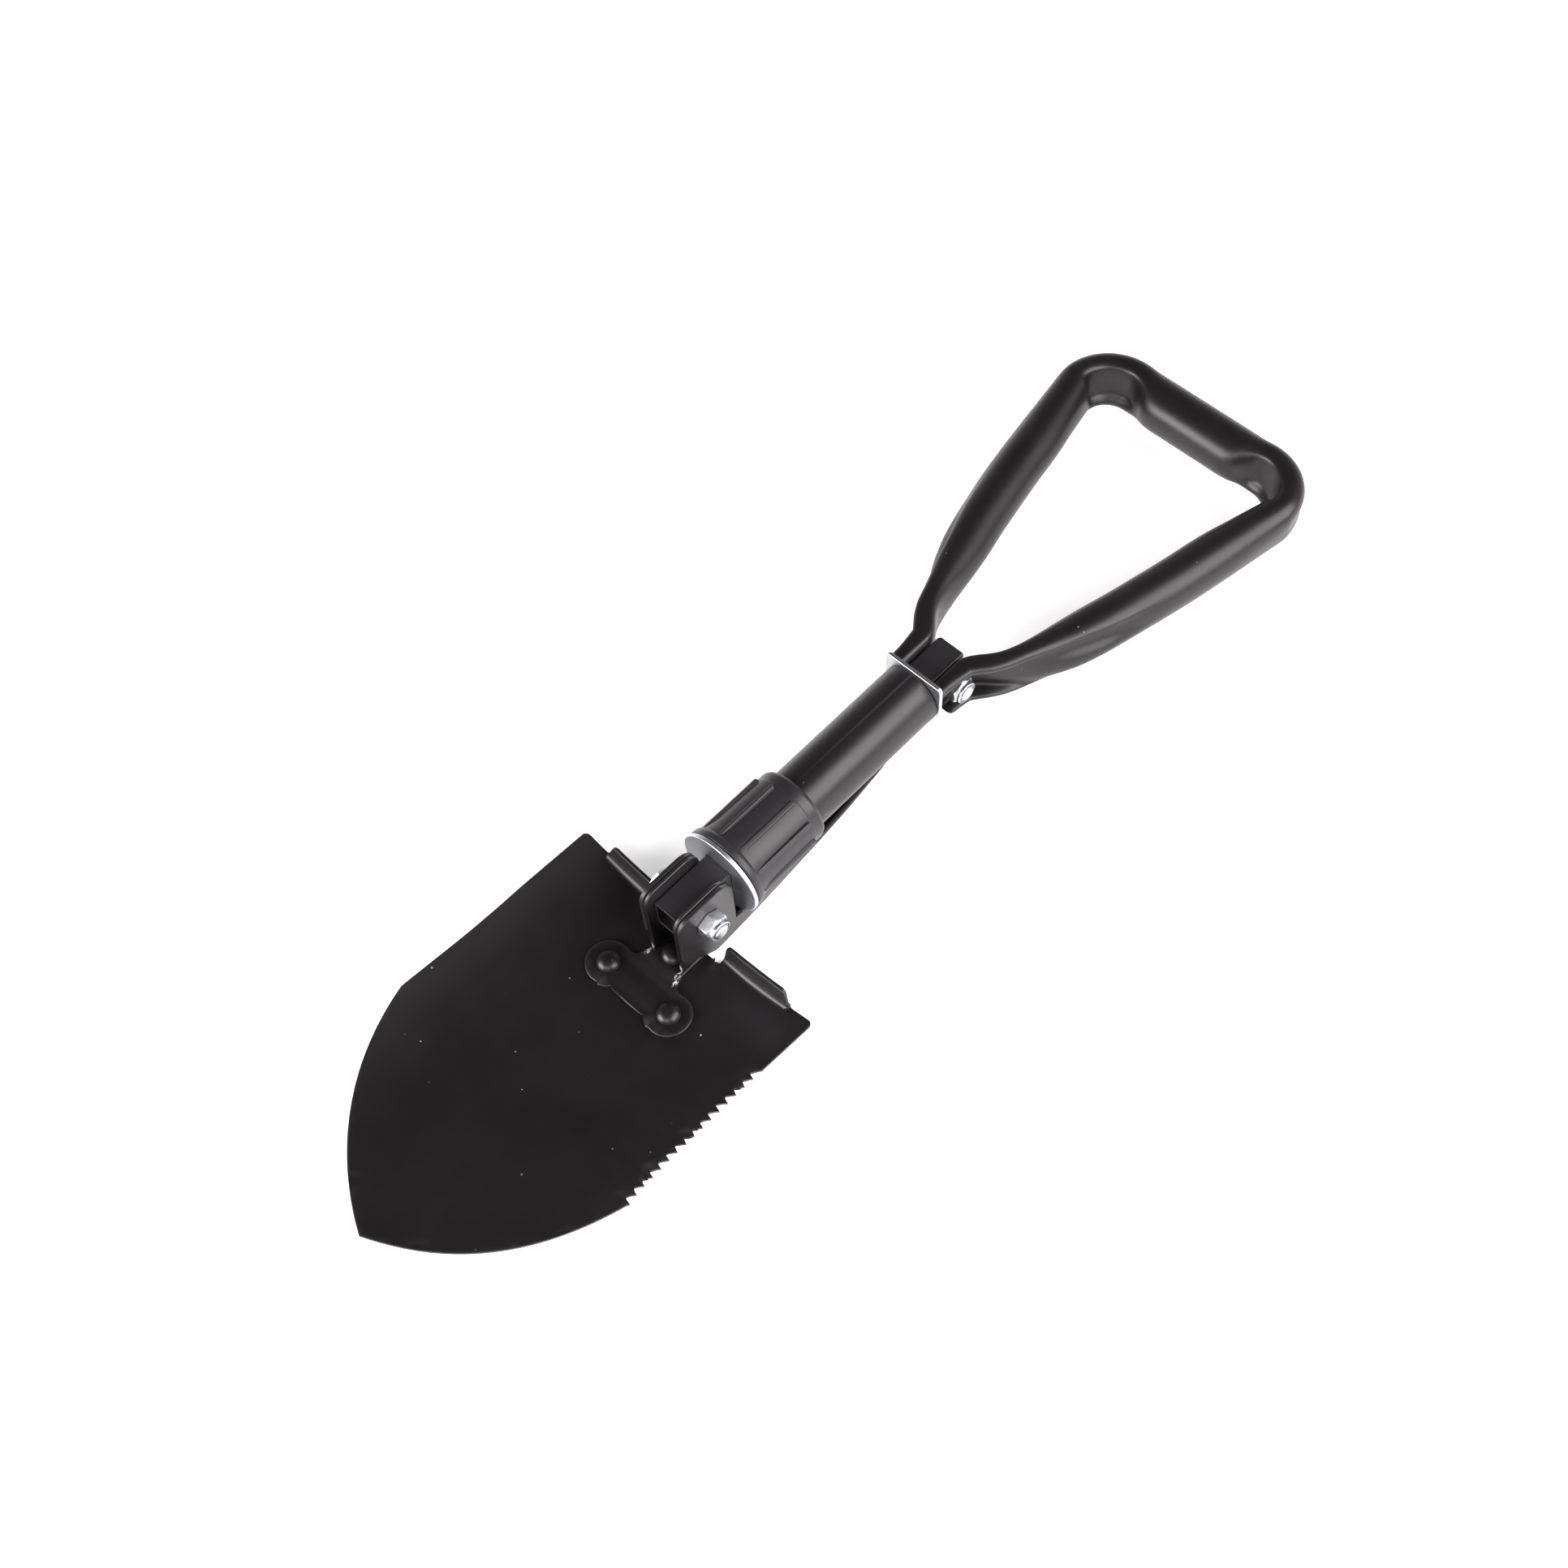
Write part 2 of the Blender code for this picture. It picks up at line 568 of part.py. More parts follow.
def cheek_outline():
    points = hinge_top(-20.6 * MM)
    points += [(-FLAT, -17 * MM), (-FLAT + 1.2 * MM, -20 * MM)]
    points += [(1.4 * MM, -33.6 * MM), (3.4 * MM, -34.2 * MM), (24 * MM, -32.4 * MM)]
    points += [(24 * MM, -22.2 * MM), (20.0 * MM, -21.4 * MM)]
    return about_blade_pivot(points)


def build_pick(material):
    stations = [PICK_ROOT, -150 * MM] + [-142 * MM + 11 * MM * index for index in range(13)]
    stations += [-3 * MM, 3 * MM, 7 * MM, PICK_TIP]
    trough = loft([pick_section(x) for x in stations])
    cheeks = []
    for side in (1, -1):
        low, high = sorted((side * CHEEK_INNER, side * CHEEK_OUTER))
        cheeks.append(prism(cheek_outline(), low, high, along_y))
    bm = difference(union(trough, *cheeks), pivot_cutter(BLADE_PIVOT_X))
    add_part("pick", bm, material, (BLADE_PIVOT_X, 0, 0))


# ---------------------------------------------------------------- shaft

def rounded_rectangle(half_u, half_v, radius, steps=4):
    points = []
    for corner, (su, sv) in enumerate(((1, 1), (-1, 1), (-1, -1), (1, -1))):
        centre = (su * (half_u - radius), sv * (half_v - radius))
        points += arc(centre, radius, 90 * corner, 90 * corner + 90, steps)
    return points


def pivot_cutter(pivot_x, radius=BOLT_HOLE):
    profile = [(0, -CUTTER_REACH), (radius, -CUTTER_REACH), (radius, CUTTER_REACH), (0, CUTTER_REACH)]
    return lathe(profile, lambda u, v, h: (pivot_x + u, h, v), steps=24)


def build_core_bar(material):
    outer = rounded_rectangle(BAR_HALF_WIDTH, BAR_HALF_HEIGHT, BAR_CORNER, 3)
    soft = rounded_rectangle(BAR_HALF_WIDTH - 0.5 * MM, BAR_HALF_HEIGHT - 0.5 * MM, BAR_CORNER, 3)
    closed = rounded_rectangle(BAR_HALF_WIDTH - 1.6 * MM, BAR_HALF_HEIGHT - 1.6 * MM, 1.0 * MM, 3)
    ends = [(BAR_FRONT, outer), (BAR_REAR - BAR_END_ROUND, outer), (BAR_REAR - 0.5 * MM, soft),
            (BAR_REAR, closed)]
    bm = loft([[(x, y, z) for y, z in loop] for x, loop in ends])
    bore = rounded_rectangle(BAR_HALF_WIDTH - BAR_WALL, BAR_HALF_HEIGHT - BAR_WALL, 0.5 * MM, 2)
    hollow = prism(bore, BAR_FRONT - MM, BAR_REAR - 2.4 * MM, along_x)
    bm = difference(bm, hollow, pivot_cutter(BLADE_PIVOT_X), pivot_cutter(GRIP_PIVOT_X))
    add_part("core_bar", bm, material)


def build_shaft_tube(material):
    rear = -PLATE_THICK - GAP
    thread = TUBE_RADIUS - THREAD_DEPTH
    thread_end = COLLAR_REAR - 4 * MM
    profile = [(TUBE_BORE, TUBE_FRONT), (thread - TUBE_CHAMFER, TUBE_FRONT),
               (thread, TUBE_FRONT + TUBE_CHAMFER), (thread, thread_end),
               (TUBE_RADIUS, thread_end + THREAD_DEPTH), (TUBE_RADIUS, rear), (TUBE_BORE, rear)]
    bm = lathe(profile, along_x, steps=40)
    add_part("shaft_tube", bm, material)


def build_end_plate(material):
    outer = rounded_rectangle(PLATE_HALF, PLATE_HALF, PLATE_CORNER, 4)
    opening = rounded_rectangle(BAR_HALF_WIDTH + GAP, BAR_HALF_HEIGHT + GAP, BAR_CORNER, 3)
    bm = prism(outer, -PLATE_THICK, 0, along_x)
    bm = difference(bm, prism(opening, -PLATE_THICK - MM, MM, along_x))
    add_part("end_plate", bm, material)


def build_lock_washer(material):
    rear = WASHER_FRONT + WASHER_THICK
    profile = [(0, WASHER_FRONT), (WASHER_RADIUS - WASHER_EDGE, WASHER_FRONT),
               (WASHER_RADIUS, WASHER_FRONT + WASHER_EDGE), (WASHER_RADIUS, rear - WASHER_EDGE),
               (WASHER_RADIUS - WASHER_EDGE, rear), (0, rear)]
    opening = rounded_rectangle(BAR_HALF_WIDTH + GAP, BAR_HALF_HEIGHT + GAP, BAR_CORNER, 3)
    bm = lathe(profile, along_x, steps=44)
    bm = difference(bm, prism(opening, WASHER_FRONT - MM, rear + MM, along_x))
    add_part("lock_washer", bm, material)


def collar_rib(angle):
    """One grip rib, a flat-topped bar with rounded ends, lying along the collar."""
    outward = Vector((0, -math.cos(angle), math.sin(angle)))
    across = Vector((0, math.sin(angle), math.cos(angle)))
    ends = arc((RIB_REAR - RIB_HALF_WIDTH, 0), RIB_HALF_WIDTH, -90, 90, 4)
    ends += arc((RIB_FRONT + RIB_HALF_WIDTH, 0), RIB_HALF_WIDTH, 90, 270, 4)
    crest_inset, crest_drop = RIB_CREST
    loops = []
    for inset, radius in ((0, RIB_ROOT_RADIUS), (0, RIB_RADIUS - crest_drop), (crest_inset, RIB_RADIUS)):
        loop = []
        shrink = 1 - inset / RIB_HALF_WIDTH
        for x, width in ends:
            middle = 0.5 * (RIB_FRONT + RIB_REAR)
            length = x - middle
            x_inset = middle + length - math.copysign(inset, length)
            loop.append(Vector((x_inset, 0, 0)) + outward * radius + across * width * shrink)
        loops.append(loop)
    return loft(loops)


def build_collar(material):
    front = COLLAR_FRONT
    profile = [(COLLAR_LIP_BORE, front)]
    profile += [(radius, front + behind) for radius, behind in COLLAR_SWELL] + COLLAR_TAIL
    profile += [(COLLAR_BORE, COLLAR_REAR), (COLLAR_BORE, front + COLLAR_LIP),
                (COLLAR_LIP_BORE, front + COLLAR_LIP)]
    bm = lathe(profile, along_x, steps=40)
    ribs = []
    for index in range(COLLAR_RIBS):
        ribs.append(collar_rib(math.radians(RIB_PHASE + 360 / COLLAR_RIBS * index)))
    add_part("collar", union(bm, *ribs), material)


# ---------------------------------------------------------------- fasteners

def hex_profile(lower, upper, pivot_x, chamfer_side):
    """Hexagonal prism along Y with one chamfered face; lower < upper in y."""
    def place(u, v, h):
        return (pivot_x + u, h, v)

    prism_part = lathe([(0, lower), (HEX_RADIUS, lower), (HEX_RADIUS, upper), (0, upper)], place, 6,
                       math.pi / 6)
    rim = HEX_RADIUS - HEX_CHAMFER
    if chamfer_side > 0:
        cone = [(0, lower - MM), (HEX_CLEAR, lower - MM), (HEX_CLEAR, upper - HEX_CHAMFER_DROP),
                (rim, upper), (0, upper)]
    else:
        cone = [(0, lower), (rim, lower), (HEX_CLEAR, lower + HEX_CHAMFER_DROP),
                (HEX_CLEAR, upper + MM), (0, upper + MM)]
    return combine("INTERSECT", prism_part, lathe(cone, place, 36))


def build_bolt(name, pivot_x, seat, material):
    """Bolt with its head on the +y side; seat is the outer face it clamps."""
    head_low = seat + GAP
    tip = -(seat + GAP + NUT_HEX_THICK + NUT_RING_THICK + BOLT_TIP)
    head = hex_profile(head_low, head_low + BOLT_HEAD_THICK, pivot_x, 1)

    def place(u, v, h):
        return (pivot_x + u, h, v)

    shank = lathe([(0, tip), (BOLT_RADIUS - 0.7 * MM, tip), (BOLT_RADIUS, tip + 0.7 * MM),
                   (BOLT_RADIUS, head_low + MM), (0, head_low + MM)], place, 28)
    add_part(name, union(head, shank), material, (pivot_x, 0, 0))


def build_nut(name, pivot_x, seat, metal, plastic):
    """Lock nut on the -y side: hexagon, round ring, and a plastic insert in the ring."""
    face = -(seat + GAP)
    shoulder = face - NUT_HEX_THICK
    end = shoulder - NUT_RING_THICK

    def place(u, v, h):
        return (pivot_x + u, h, v)

    hexagon = hex_profile(shoulder, face, pivot_x, -1)
    ring = lathe([(0, end), (NUT_RING_RADIUS - 0.6 * MM, end), (NUT_RING_RADIUS, end + 0.6 * MM),
                  (NUT_RING_RADIUS, shoulder + 0.5 * MM), (0, shoulder + 0.5 * MM)], place, 32)
    bore = lathe([(0, end - MM), (INSERT_OUTER + GAP, end - MM), (INSERT_OUTER + GAP, shoulder - GAP),
                  (BOLT_HOLE, shoulder - GAP), (BOLT_HOLE, face + MM), (0, face + MM)], place, 32)
    add_part(name, difference(union(hexagon, ring), bore), metal, (pivot_x, 0, 0))
    rim = end + 0.5 * MM
    insert = lathe([(BOLT_HOLE, rim), (INSERT_OUTER, rim), (INSERT_OUTER, shoulder - 2 * GAP),
                    (BOLT_HOLE, shoulder - 2 * GAP)], place, 28)
    add_part(name + "_insert", insert, plastic, (pivot_x, 0, 0))


def build_spacer(name, pivot_x, material):
    """Bush round the bolt that keeps the hollow bar from being squeezed."""
    half = BAR_HALF_WIDTH - BAR_WALL - GAP

    def place(u, v, h):
        return (pivot_x + u, h, v)

    profile = [(BOLT_HOLE, -half), (SPACER_RADIUS, -half), (SPACER_RADIUS, half), (BOLT_HOLE, half)]
    add_part(name, lathe(profile, place, 28), material, (pivot_x, 0, 0))


# ---------------------------------------------------------------- grip

def mirrored_section(half):
    return half + [(out, -up) for out, up in reversed(half[1:-1])]


def section_at(x, share_corner, radius, squat):
    """Blend of the root, corner and round sections, point by point around the loop."""
    rounded = mirrored_section(arc((0, 0), radius, 0, 180, len(ROOT_SECTION) - 1))
    loop = []
    points = zip(mirrored_section(ROOT_SECTION), CORNER_SECTION, rounded, ROOT_FADE_END)
    for root, corner, plain, fade in points:
        share_root = 1 - smoothstep(x, ROOT_FADE_START, fade * MM)
        rest = 1 - share_root - share_corner
        out, up = (share_root * root[axis] * MM + share_corner * corner[axis] * MM + rest * plain[axis]
                   for axis in (0, 1))
        if root in ROOT_BEADS:
            out += ROOT_FLARE * smoothstep(x, *FLARE_RISE) * (1 - smoothstep(x, *FLARE_FALL))
        loop.append((out, up if up > 0 else up * squat))
    return loop


def inset_loop(loop, distance):
    """Move a closed plane loop inward by a wall thickness along its corner normals."""
    result = []
    count = len(loop)
    for index, point in enumerate(loop):
        before = Vector(loop[index - 1])
        after = Vector(loop[(index + 1) % count])
        here = Vector(point)
        one = (here - before).normalized()
        two = (after - here).normalized()
        normal = Vector((-(one.y + two.y), one.x + two.x)).normalized()
        cosine = max(normal.dot(Vector((-one.y, one.x))), 0.6)
        result.append(tuple(here + normal * (distance / cosine)))
    return result


def grip_stations():
    """Half of the grip: centre point, outward direction, corner share, radius."""
    stations = []
    leg = LEG_LINE
    for index, (x, y) in enumerate(leg):
        before = leg[max(index - 1, 0)]
        after = leg[min(index + 1, len(leg) - 1)]
        run = Vector((after[0] - before[0], after[1] - before[1])).normalized()
        if index == 0:
            run = Vector((1, 0))
        outward = Vector((-run.y, run.x))
        corner = LEG_CORNER_SHARE * smoothstep(x, *LEG_CORNER_RISE)
        stations.append((Vector((x, y)), outward, corner, GRIP_TUBE))
    end = Vector(leg[-1])
    slope = (leg[-1][1] - leg[-2][1]) / (leg[-1][0] - leg[-2][0])
    angle = math.atan(slope)
    apex = Vector((CROSSBAR_X, end.y + slope * (CROSSBAR_X - end.x)))
    tangent = GRIP_BEND * math.tan((math.pi / 2 + angle) / 2)
    start = apex - Vector((math.cos(angle), math.sin(angle))) * tangent
    centre = start + Vector((math.sin(angle), -math.cos(angle))) * GRIP_BEND
    turn = math.pi / 2 + angle
    bend_steps = 8
    for step in range(bend_steps + 1):
        direction = angle - turn * step / bend_steps
        outward = Vector((-math.sin(direction), math.cos(direction)))
        stations.append((centre + outward * GRIP_BEND, outward, smoothstep(step, -2, 2), GRIP_TUBE))
    bar_start = centre.y
    for share in (0.12, 0.28, 0.46, 0.66, 1.0):
        y = bar_start * (1 - share)
        corner = 1 - smoothstep(share, 0.0, 0.42)
        radius = GRIP_TUBE + (CROSSBAR_RADIUS - GRIP_TUBE) * smoothstep(share, 0, 0.4)
        stations.append((Vector((CROSSBAR_X, y)), Vector((1, 0)), corner, radius))
    return stations


def grip_loop(station, wall):
    centre, outward, corner, radius = station
    squat = ROOT_SQUAT + (1 - ROOT_SQUAT) * smoothstep(centre.x, *SQUAT_FADE)
    squat += (LEG_SAG - 1) * smoothstep(centre.x, *SAG_RISE)
    section = section_at(centre.x, corner, radius, squat)
    if wall:
        section = inset_loop(section, wall)
    run = max(centre.x - GRIP_PIVOT_X, 0) / (CROSSBAR_X - GRIP_PIVOT_X)
    drop = ROOT_DROP + (GRIP_DROP - ROOT_DROP) * run
    return [(centre.x + outward.x * out, centre.y + outward.y * out, up - drop) for out, up in section]


def mirror_loop(loop):
    return [(x, -y, z) for x, y, z in loop]


def build_grip(material):
    stations = grip_stations()
    walls = []
    for wall in (0, GRIP_WALL):
        half = [grip_loop(station, wall) for station in stations]
        walls.append(half + [mirror_loop(loop) for loop in reversed(half[:-1])])
    bm = bmesh.new()
    rings = [[[bm.verts.new(point) for point in loop] for loop in wall] for wall in walls]
    outer, inner = rings
    size = len(outer[0])
    for shell in rings:
        for near, far in zip(shell, shell[1:]):
            for index in range(size):
                following = (index + 1) % size
                bm.faces.new((near[index], near[following], far[following], far[index]))
    for end in (0, -1):
        for index in range(size):
            following = (index + 1) % size
            bm.faces.new((outer[end][index], outer[end][following], inner[end][following], inner[end][index]))
    bm = difference(bm, pivot_cutter(GRIP_PIVOT_X), *heel_cutters())
    add_part("grip_tube", bm, material, (GRIP_PIVOT_X, 0, 0))


def heel_cutters():
    """Round the lower rear corner of both legs so that they can swing past the end plate."""
    reach = GRIP_PIVOT_X - GRIP_END_X
    outline = [(GRIP_PIVOT_X - CUTTER_REACH, 0)]
    outline += [(GRIP_PIVOT_X + x, z) for x, z in arc((0, 0), reach, 180, 264, 12)]
    outline += [(GRIP_PIVOT_X - MM, -CUTTER_REACH), (GRIP_PIVOT_X - CUTTER_REACH, -CUTTER_REACH)]
    return [prism(outline, -CUTTER_REACH, CUTTER_REACH, along_y)]


# ---------------------------------------------------------------- assembly

def build_all():
    clear_scene()
    steel_black = {"colour": (0.018, 0.017, 0.018), "roughness": 0.42, "metallic": 0.25}
    zinc = {"colour": (0.80, 0.82, 0.84), "roughness": 0.28, "metallic": 1.0}
    build_blade(make_material("blade_coat", **steel_black))
    build_bracket(make_material("bracket_coat", **steel_black))
    build_rivets(make_material("rivet_coat", **steel_black))
    build_pick(make_material("pick_coat", **steel_black))
    build_core_bar(make_material("bar_coat", **steel_black))
    build_shaft_tube(make_material("tube_coat", **steel_black))
    build_grip(make_material("grip_coat", **steel_black))
    build_end_plate(make_material("plate_zinc", **zinc))
    build_lock_washer(make_material("washer_zinc", **zinc))
    build_collar(make_material("collar_plastic", (0.022, 0.021, 0.022), 0.48, 0.0))
    fastener = make_material("fastener_zinc", **zinc)
    nylon = make_material("insert_nylon", (0.78, 0.78, 0.74), 0.5, 0.0)
    spacer = make_material("spacer_steel", (0.42, 0.42, 0.43), 0.4, 1.0)
    for name, pivot_x, seat in (("blade_pivot", BLADE_PIVOT_X, CHEEK_OUTER),
                                ("grip_pivot", GRIP_PIVOT_X, GRIP_WEB_OUTER)):
        build_bolt(name + "_bolt", pivot_x, seat, fastener)
        build_nut(name + "_nut", pivot_x, seat, fastener, nylon)
        build_spacer(name + "_spacer", pivot_x, spacer)


build_all()
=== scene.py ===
"""Looks for the folding camp shovel: fine surfaces, finishes, floor, lights and camera.

Shapes are drawn in the shaft frame in millimetres: x = 0 on the grip side of the end plate,
y = z = 0 on the tube's axis. The blade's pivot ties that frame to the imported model.
"""
import json
import math

import bmesh
import bpy
from mathutils import Matrix, Vector


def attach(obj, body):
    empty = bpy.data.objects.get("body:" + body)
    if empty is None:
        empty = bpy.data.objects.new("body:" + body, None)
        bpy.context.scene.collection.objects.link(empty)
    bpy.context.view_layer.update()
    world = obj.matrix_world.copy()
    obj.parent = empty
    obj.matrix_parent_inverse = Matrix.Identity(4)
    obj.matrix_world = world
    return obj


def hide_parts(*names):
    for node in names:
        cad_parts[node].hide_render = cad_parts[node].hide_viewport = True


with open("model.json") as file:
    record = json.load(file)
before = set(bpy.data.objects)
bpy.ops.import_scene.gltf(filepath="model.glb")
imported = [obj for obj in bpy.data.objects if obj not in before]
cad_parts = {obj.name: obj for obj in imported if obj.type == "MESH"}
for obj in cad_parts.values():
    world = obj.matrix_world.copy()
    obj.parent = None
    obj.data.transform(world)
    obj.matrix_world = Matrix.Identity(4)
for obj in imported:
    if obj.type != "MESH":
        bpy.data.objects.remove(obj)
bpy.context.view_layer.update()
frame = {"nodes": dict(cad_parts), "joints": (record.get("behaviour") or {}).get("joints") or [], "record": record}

JOINTS = {joint["name"]: joint for joint in frame["joints"]}
BODY_OF = {node: body for body, nodes in frame["record"]["behaviour"]["bodies"].items() for node in nodes}

MM = 0.001
GAP = 0.3                           # clearance between pieces that touch or slide
ROUND_SHARE = 0.29                  # where a quarter circle passes closest to its corner
SHEET = 2.0
BLADE_PIVOT_X = -156.0
GRIP_PIVOT_X = 14.9
SHAFT_ORIGIN = Vector(JOINTS["blade_fold"]["pos_m"]) - Vector((BLADE_PIVOT_X, 0, 0)) * MM

# Hinge at the blade: bar half width and height, then inner and outer face of ears and cheeks
BAR_HALF = (7.9, 9.2)
BAR_CORNER = 1.2
EAR = (8.2, 10.4)
CHEEK = (10.7, 13.1)
PRISM_EDGE = 0.7                    # width of the rounded rims of ears and cheeks
FLAT = 17.0
FRONT_CORNER = 7.5
REAR_CORNER = 10.0
HOLE_RADIUS = 4.3
CUTTER_REACH = 30.0

# Blade
SEAT_Z = -35.0
SEAT_HALF_WIDTH = 18.0
DISH_RISE = 10.6
SHOULDER_HALF_WIDTH = 75.6
REAR_HALF_WIDTH = 74.2
BLADE_REAR = -152.8
SHOULDER_X = -268.0
TIP_X = -358.4
EDGE_BULGE = 13.9
BEND_START = -200.0
BEND_LENGTH = 40.0
BLADE_SLOPE = 0.127
TEETH = 16
TEETH_START = -184.8
TEETH_END = -269.6
TOOTH_DEPTH = 3.9
TOOTH_RAMP = 0.81
PLAIN_SIDE = (-195, 75.3)           # where the plain side edge bends a little
BLADE_RIM = 0.45                    # width of the rounded rim of the sheet
BLADE_GRID = 4.5
SAW_LINE = [(TEETH_END, SHOULDER_HALF_WIDTH), (-262, 74.2), (-240, 72.8), (-205, 72.2), (-185, 72.9)]
FOLD_LINE = -156.5
FOLD_RADIUS = 2.5
FOLD_ANGLE = math.radians(80)
TREAD_INNER = 18.2
TREAD_OUTER = 58.0
TREAD_LENGTH = 12.2
TREAD_BLEND = 2.6
TREAD_SWELL = 1.0                   # how much rounder each tread's fold is at its middle
CENTRE_EDGE = -157.5
RELIEF_RADIUS = 1.75
RELIEF_X = -156.4
REAR_CORNER_RADIUS = 3.0

# Bracket's base plate and the rivets
LOBE = (-192.0, 19.7)
LOBE_RADIUS = 11.3
BRACKET_REAR = -158.2
BRACKET_NECK = [(-172.5, EAR[1] + 0.4), (-174.6, 10.9), (-176.6, 11.6), (-178.4, 12.4), (-179.8, 13.2)]
BRACKET_FRONT = [(-200.2, 10.6), (-200.0, 0)]
BRACKET_RIM = 0.55
RIVETS = {"rivet_left": LOBE, "rivet_right": (LOBE[0], -LOBE[1]), "rivet_centre": (-168.8, 0.0)}
RIVET_HOLE = 2.9
RIVET_TAIL_HOLE = 4.5
RIVET_DOME = 5.9
RIVET_FLATTENING = 0.62             # height of the dome against a half ball

# Pick: x and the value there, root to point
PICK_HALF_WIDTH = [(-128, 13.07), (-88, 12.5), (-60, 10.4), (-32, 7.4), (-10, 4.0), (10, 0.8)]
PICK_RIM = [(-150, -21.3), (-134, -21.6), (-110, -23.2), (-86, -25.0), (10, -25.8)]
PICK_SIDE_FOOT = [(-150, -33.8), (-110, -29.6), (-90, -26.6), (10, -26.0)]
PICK_WEB = [(-150, -36.2), (-110, -35.8), (-60, -34.0), (-20, -31.2), (10, -27.4)]
PICK_WEB_HALF = [(-150, 9.5), (-110, 7.0), (-60, 3.2), (10, 0.3)]

# Shaft tube as (radius, x), lock washer and collar
TUBE_PROFILE = [(14.4, -124.0), (14.9, -124.0), (15.5, -123.4), (15.5, -88.5), (16.0, -88.0), (16.0, -2.3),
                (14.4, -2.3)]
WASHER_FRONT = -135.0
WASHER_REAR = -132.8
WASHER_RADIUS = 22.7
COLLAR_FRONT = -132.4
COLLAR_REAR = -84.5
COLLAR_BORE = 16.3
COLLAR_LIP = 3.6
COLLAR_LIP_BORE = 13.2
# Outside of the collar's front: radius, distance behind its front face
COLLAR_SWELL = [(COLLAR_LIP_BORE, 0), (21.9, 0), (22.5, 0.7), (22.45, 3.0), (21.95, 4.1), (21.3, 4.6),
                (21.2, 6), (20.6, 10), (20.35, 15)]
RIB_FRONT = -127.2
RIB_REAR = -92.5
RIB_HALF_WIDTH = 1.15
RIB_RISE = [(-0.5, 18.6), (-0.35, 20.0), (0, 21.0), (0.12, 21.35), (0.45, 21.6)]   # inset, radius
RIB_COUNT = 10
RIB_PHASE = 33.0

# Fasteners
HEX_RADIUS = 7.5
HEX_ROUND = 0.35
HEX_RIM = (6.45, 6.75)
HEX_CLEAR = 9.0
HEX_CHAMFER_DROP = 1.6
BOLT_RADIUS = 4.0
BOLT_HEAD_THICK = 5.3
NUT_HEX_THICK = 5.4
NUT_RING_THICK = 2.6
BOLT_TIP = 1.0
THREAD_ROOT = 3.4
THREAD_PITCH = 1.1
THREAD_LENGTH = 4.5

# Grip
GRIP_WALL = 1.4
GRIP_WEB_OUTER = 11.9
GRIP_TUBE = 12.7
CROSSBAR_X = 222.4
CROSSBAR_RADIUS = 13.7
ROOT_DROP = 2.2
GRIP_DROP = 6.6
ROOT_SQUAT = 0.81
ROOT_FLARE = 2.0
LEG_SAG = 1.09
SQUAT_FADE = (33, 42)
SAG_RISE = (90, 150)
FLARE_RISE = (3, 24)
FLARE_FALL = (26, 46)
LEG_CORNER_SHARE = 0.3
LEG_CORNER_RISE = (155, 190)
HEEL_REACH = 14.4                   # the legs' lower heel keeps this close to the pivot
HEEL_SLACK = 0.2
GRIP_BEND = 21.0
LEG_LINE = [(0.4, 12.7), (7, 12.7), (14, 12.7), (19, 12.8), (22.5, 13.6), (27, 16.8), (31, 20.3),
            (37, 24.6), (46, 28.8), (57, 32.6), (70, 36.5), (84, 40.2), (100, 44.2), (118, 48.2),
            (138, 52.4), (160, 56.4), (176, 59.1)]
# Half of the root's section, then the corners' whole section: outward, up
ROOT_SECTION = [(-1.2, 0), (-1.2, 4.8), (-1.2, 9.5), (1.2, 10.1), (4.0, 11.0), (4.2, 13.5),
                (1.7, 14.8), (-2.0, 14.7), (-3.9, 13.0), (-4.4, 10.0), (-4.4, 5.0), (-4.4, 0)]
CORNER_SECTION = [(10.4, 0), (10.8, 4.2), (10.8, 8.0), (9.3, 11.0), (6.4, 12.9), (3.2, 13.5), (0.4, 13.1),
                  (-1.6, 11.9), (-2.5, 9.8), (-3.1, 6.6), (-3.6, 3.0), (-4.2, -0.6), (-5.2, -3.6),
                  (-7.0, -5.6), (-8.2, -7.4), (-7.8, -9.6), (-5.4, -11.8), (-1.6, -13.0), (3.0, -13.4),
                  (7.2, -12.2), (9.8, -9.0), (10.7, -4.6)]
ROOT_BEADS = [(out, side * up) for out, up in ROOT_SECTION[3:7] for side in (1, -1)]
# Where the pressed root shape fades along each leg, for the points of the section in turn
ROOT_FADE_START = 20
ROOT_FADE_END = [96, 120, 124, 104] + 16 * [84] + [80, 84]

# Camera, solved from the perspective of the shaft, plate, washer and blade
CAMERA_PLACE = (-410.31, -343.68, 826.14)
CAMERA_RIGHT = (0.68521, -0.72732, -0.03854)
CAMERA_UP = (0.64183, 0.57796, 0.50400)
CAMERA_BACK = (-0.34430, -0.37009, 0.86284)
SENSOR_WIDTH = 36.0
FOCAL_LENGTH = 46.8602              # on that sensor

# Finishes
BLACK_PAINT = (0.0058, 0.0050, 0.0055)
# The same black paint made darker for the blade and bracket: a painted shade that keeps their flat tops dark
SHADED_BLACK_PAINT = (0.0050, 0.0043, 0.0047)
# Lighter paint for convex edges: partly rubbed paint, partly a painted highlight along the rims
RUBBED_AND_HIGHLIT_PAINT = (0.035, 0.034, 0.036)
DUST = (0.42, 0.41, 0.40)
BARE_STEEL = (0.62, 0.62, 0.62)
# Bare specks at the roots of the ears: centre and half size of each
BURRS = [((-173.2, -9.0, -29.5), (1.0, 1.5, 4.2)), ((-175.6, -9.4, -32.6), (2.6, 1.3, 1.0)),
         ((-179.0, -11.0, -32.6), (2.6, 1.1, 1.0)), ((-173.2, 9.6, -30.2), (1.0, 1.6, 3.0)),
         ((-175.8, 10.2, -32.6), (2.4, 1.3, 1.0))]


# ---------------------------------------------------------------- mesh helpers

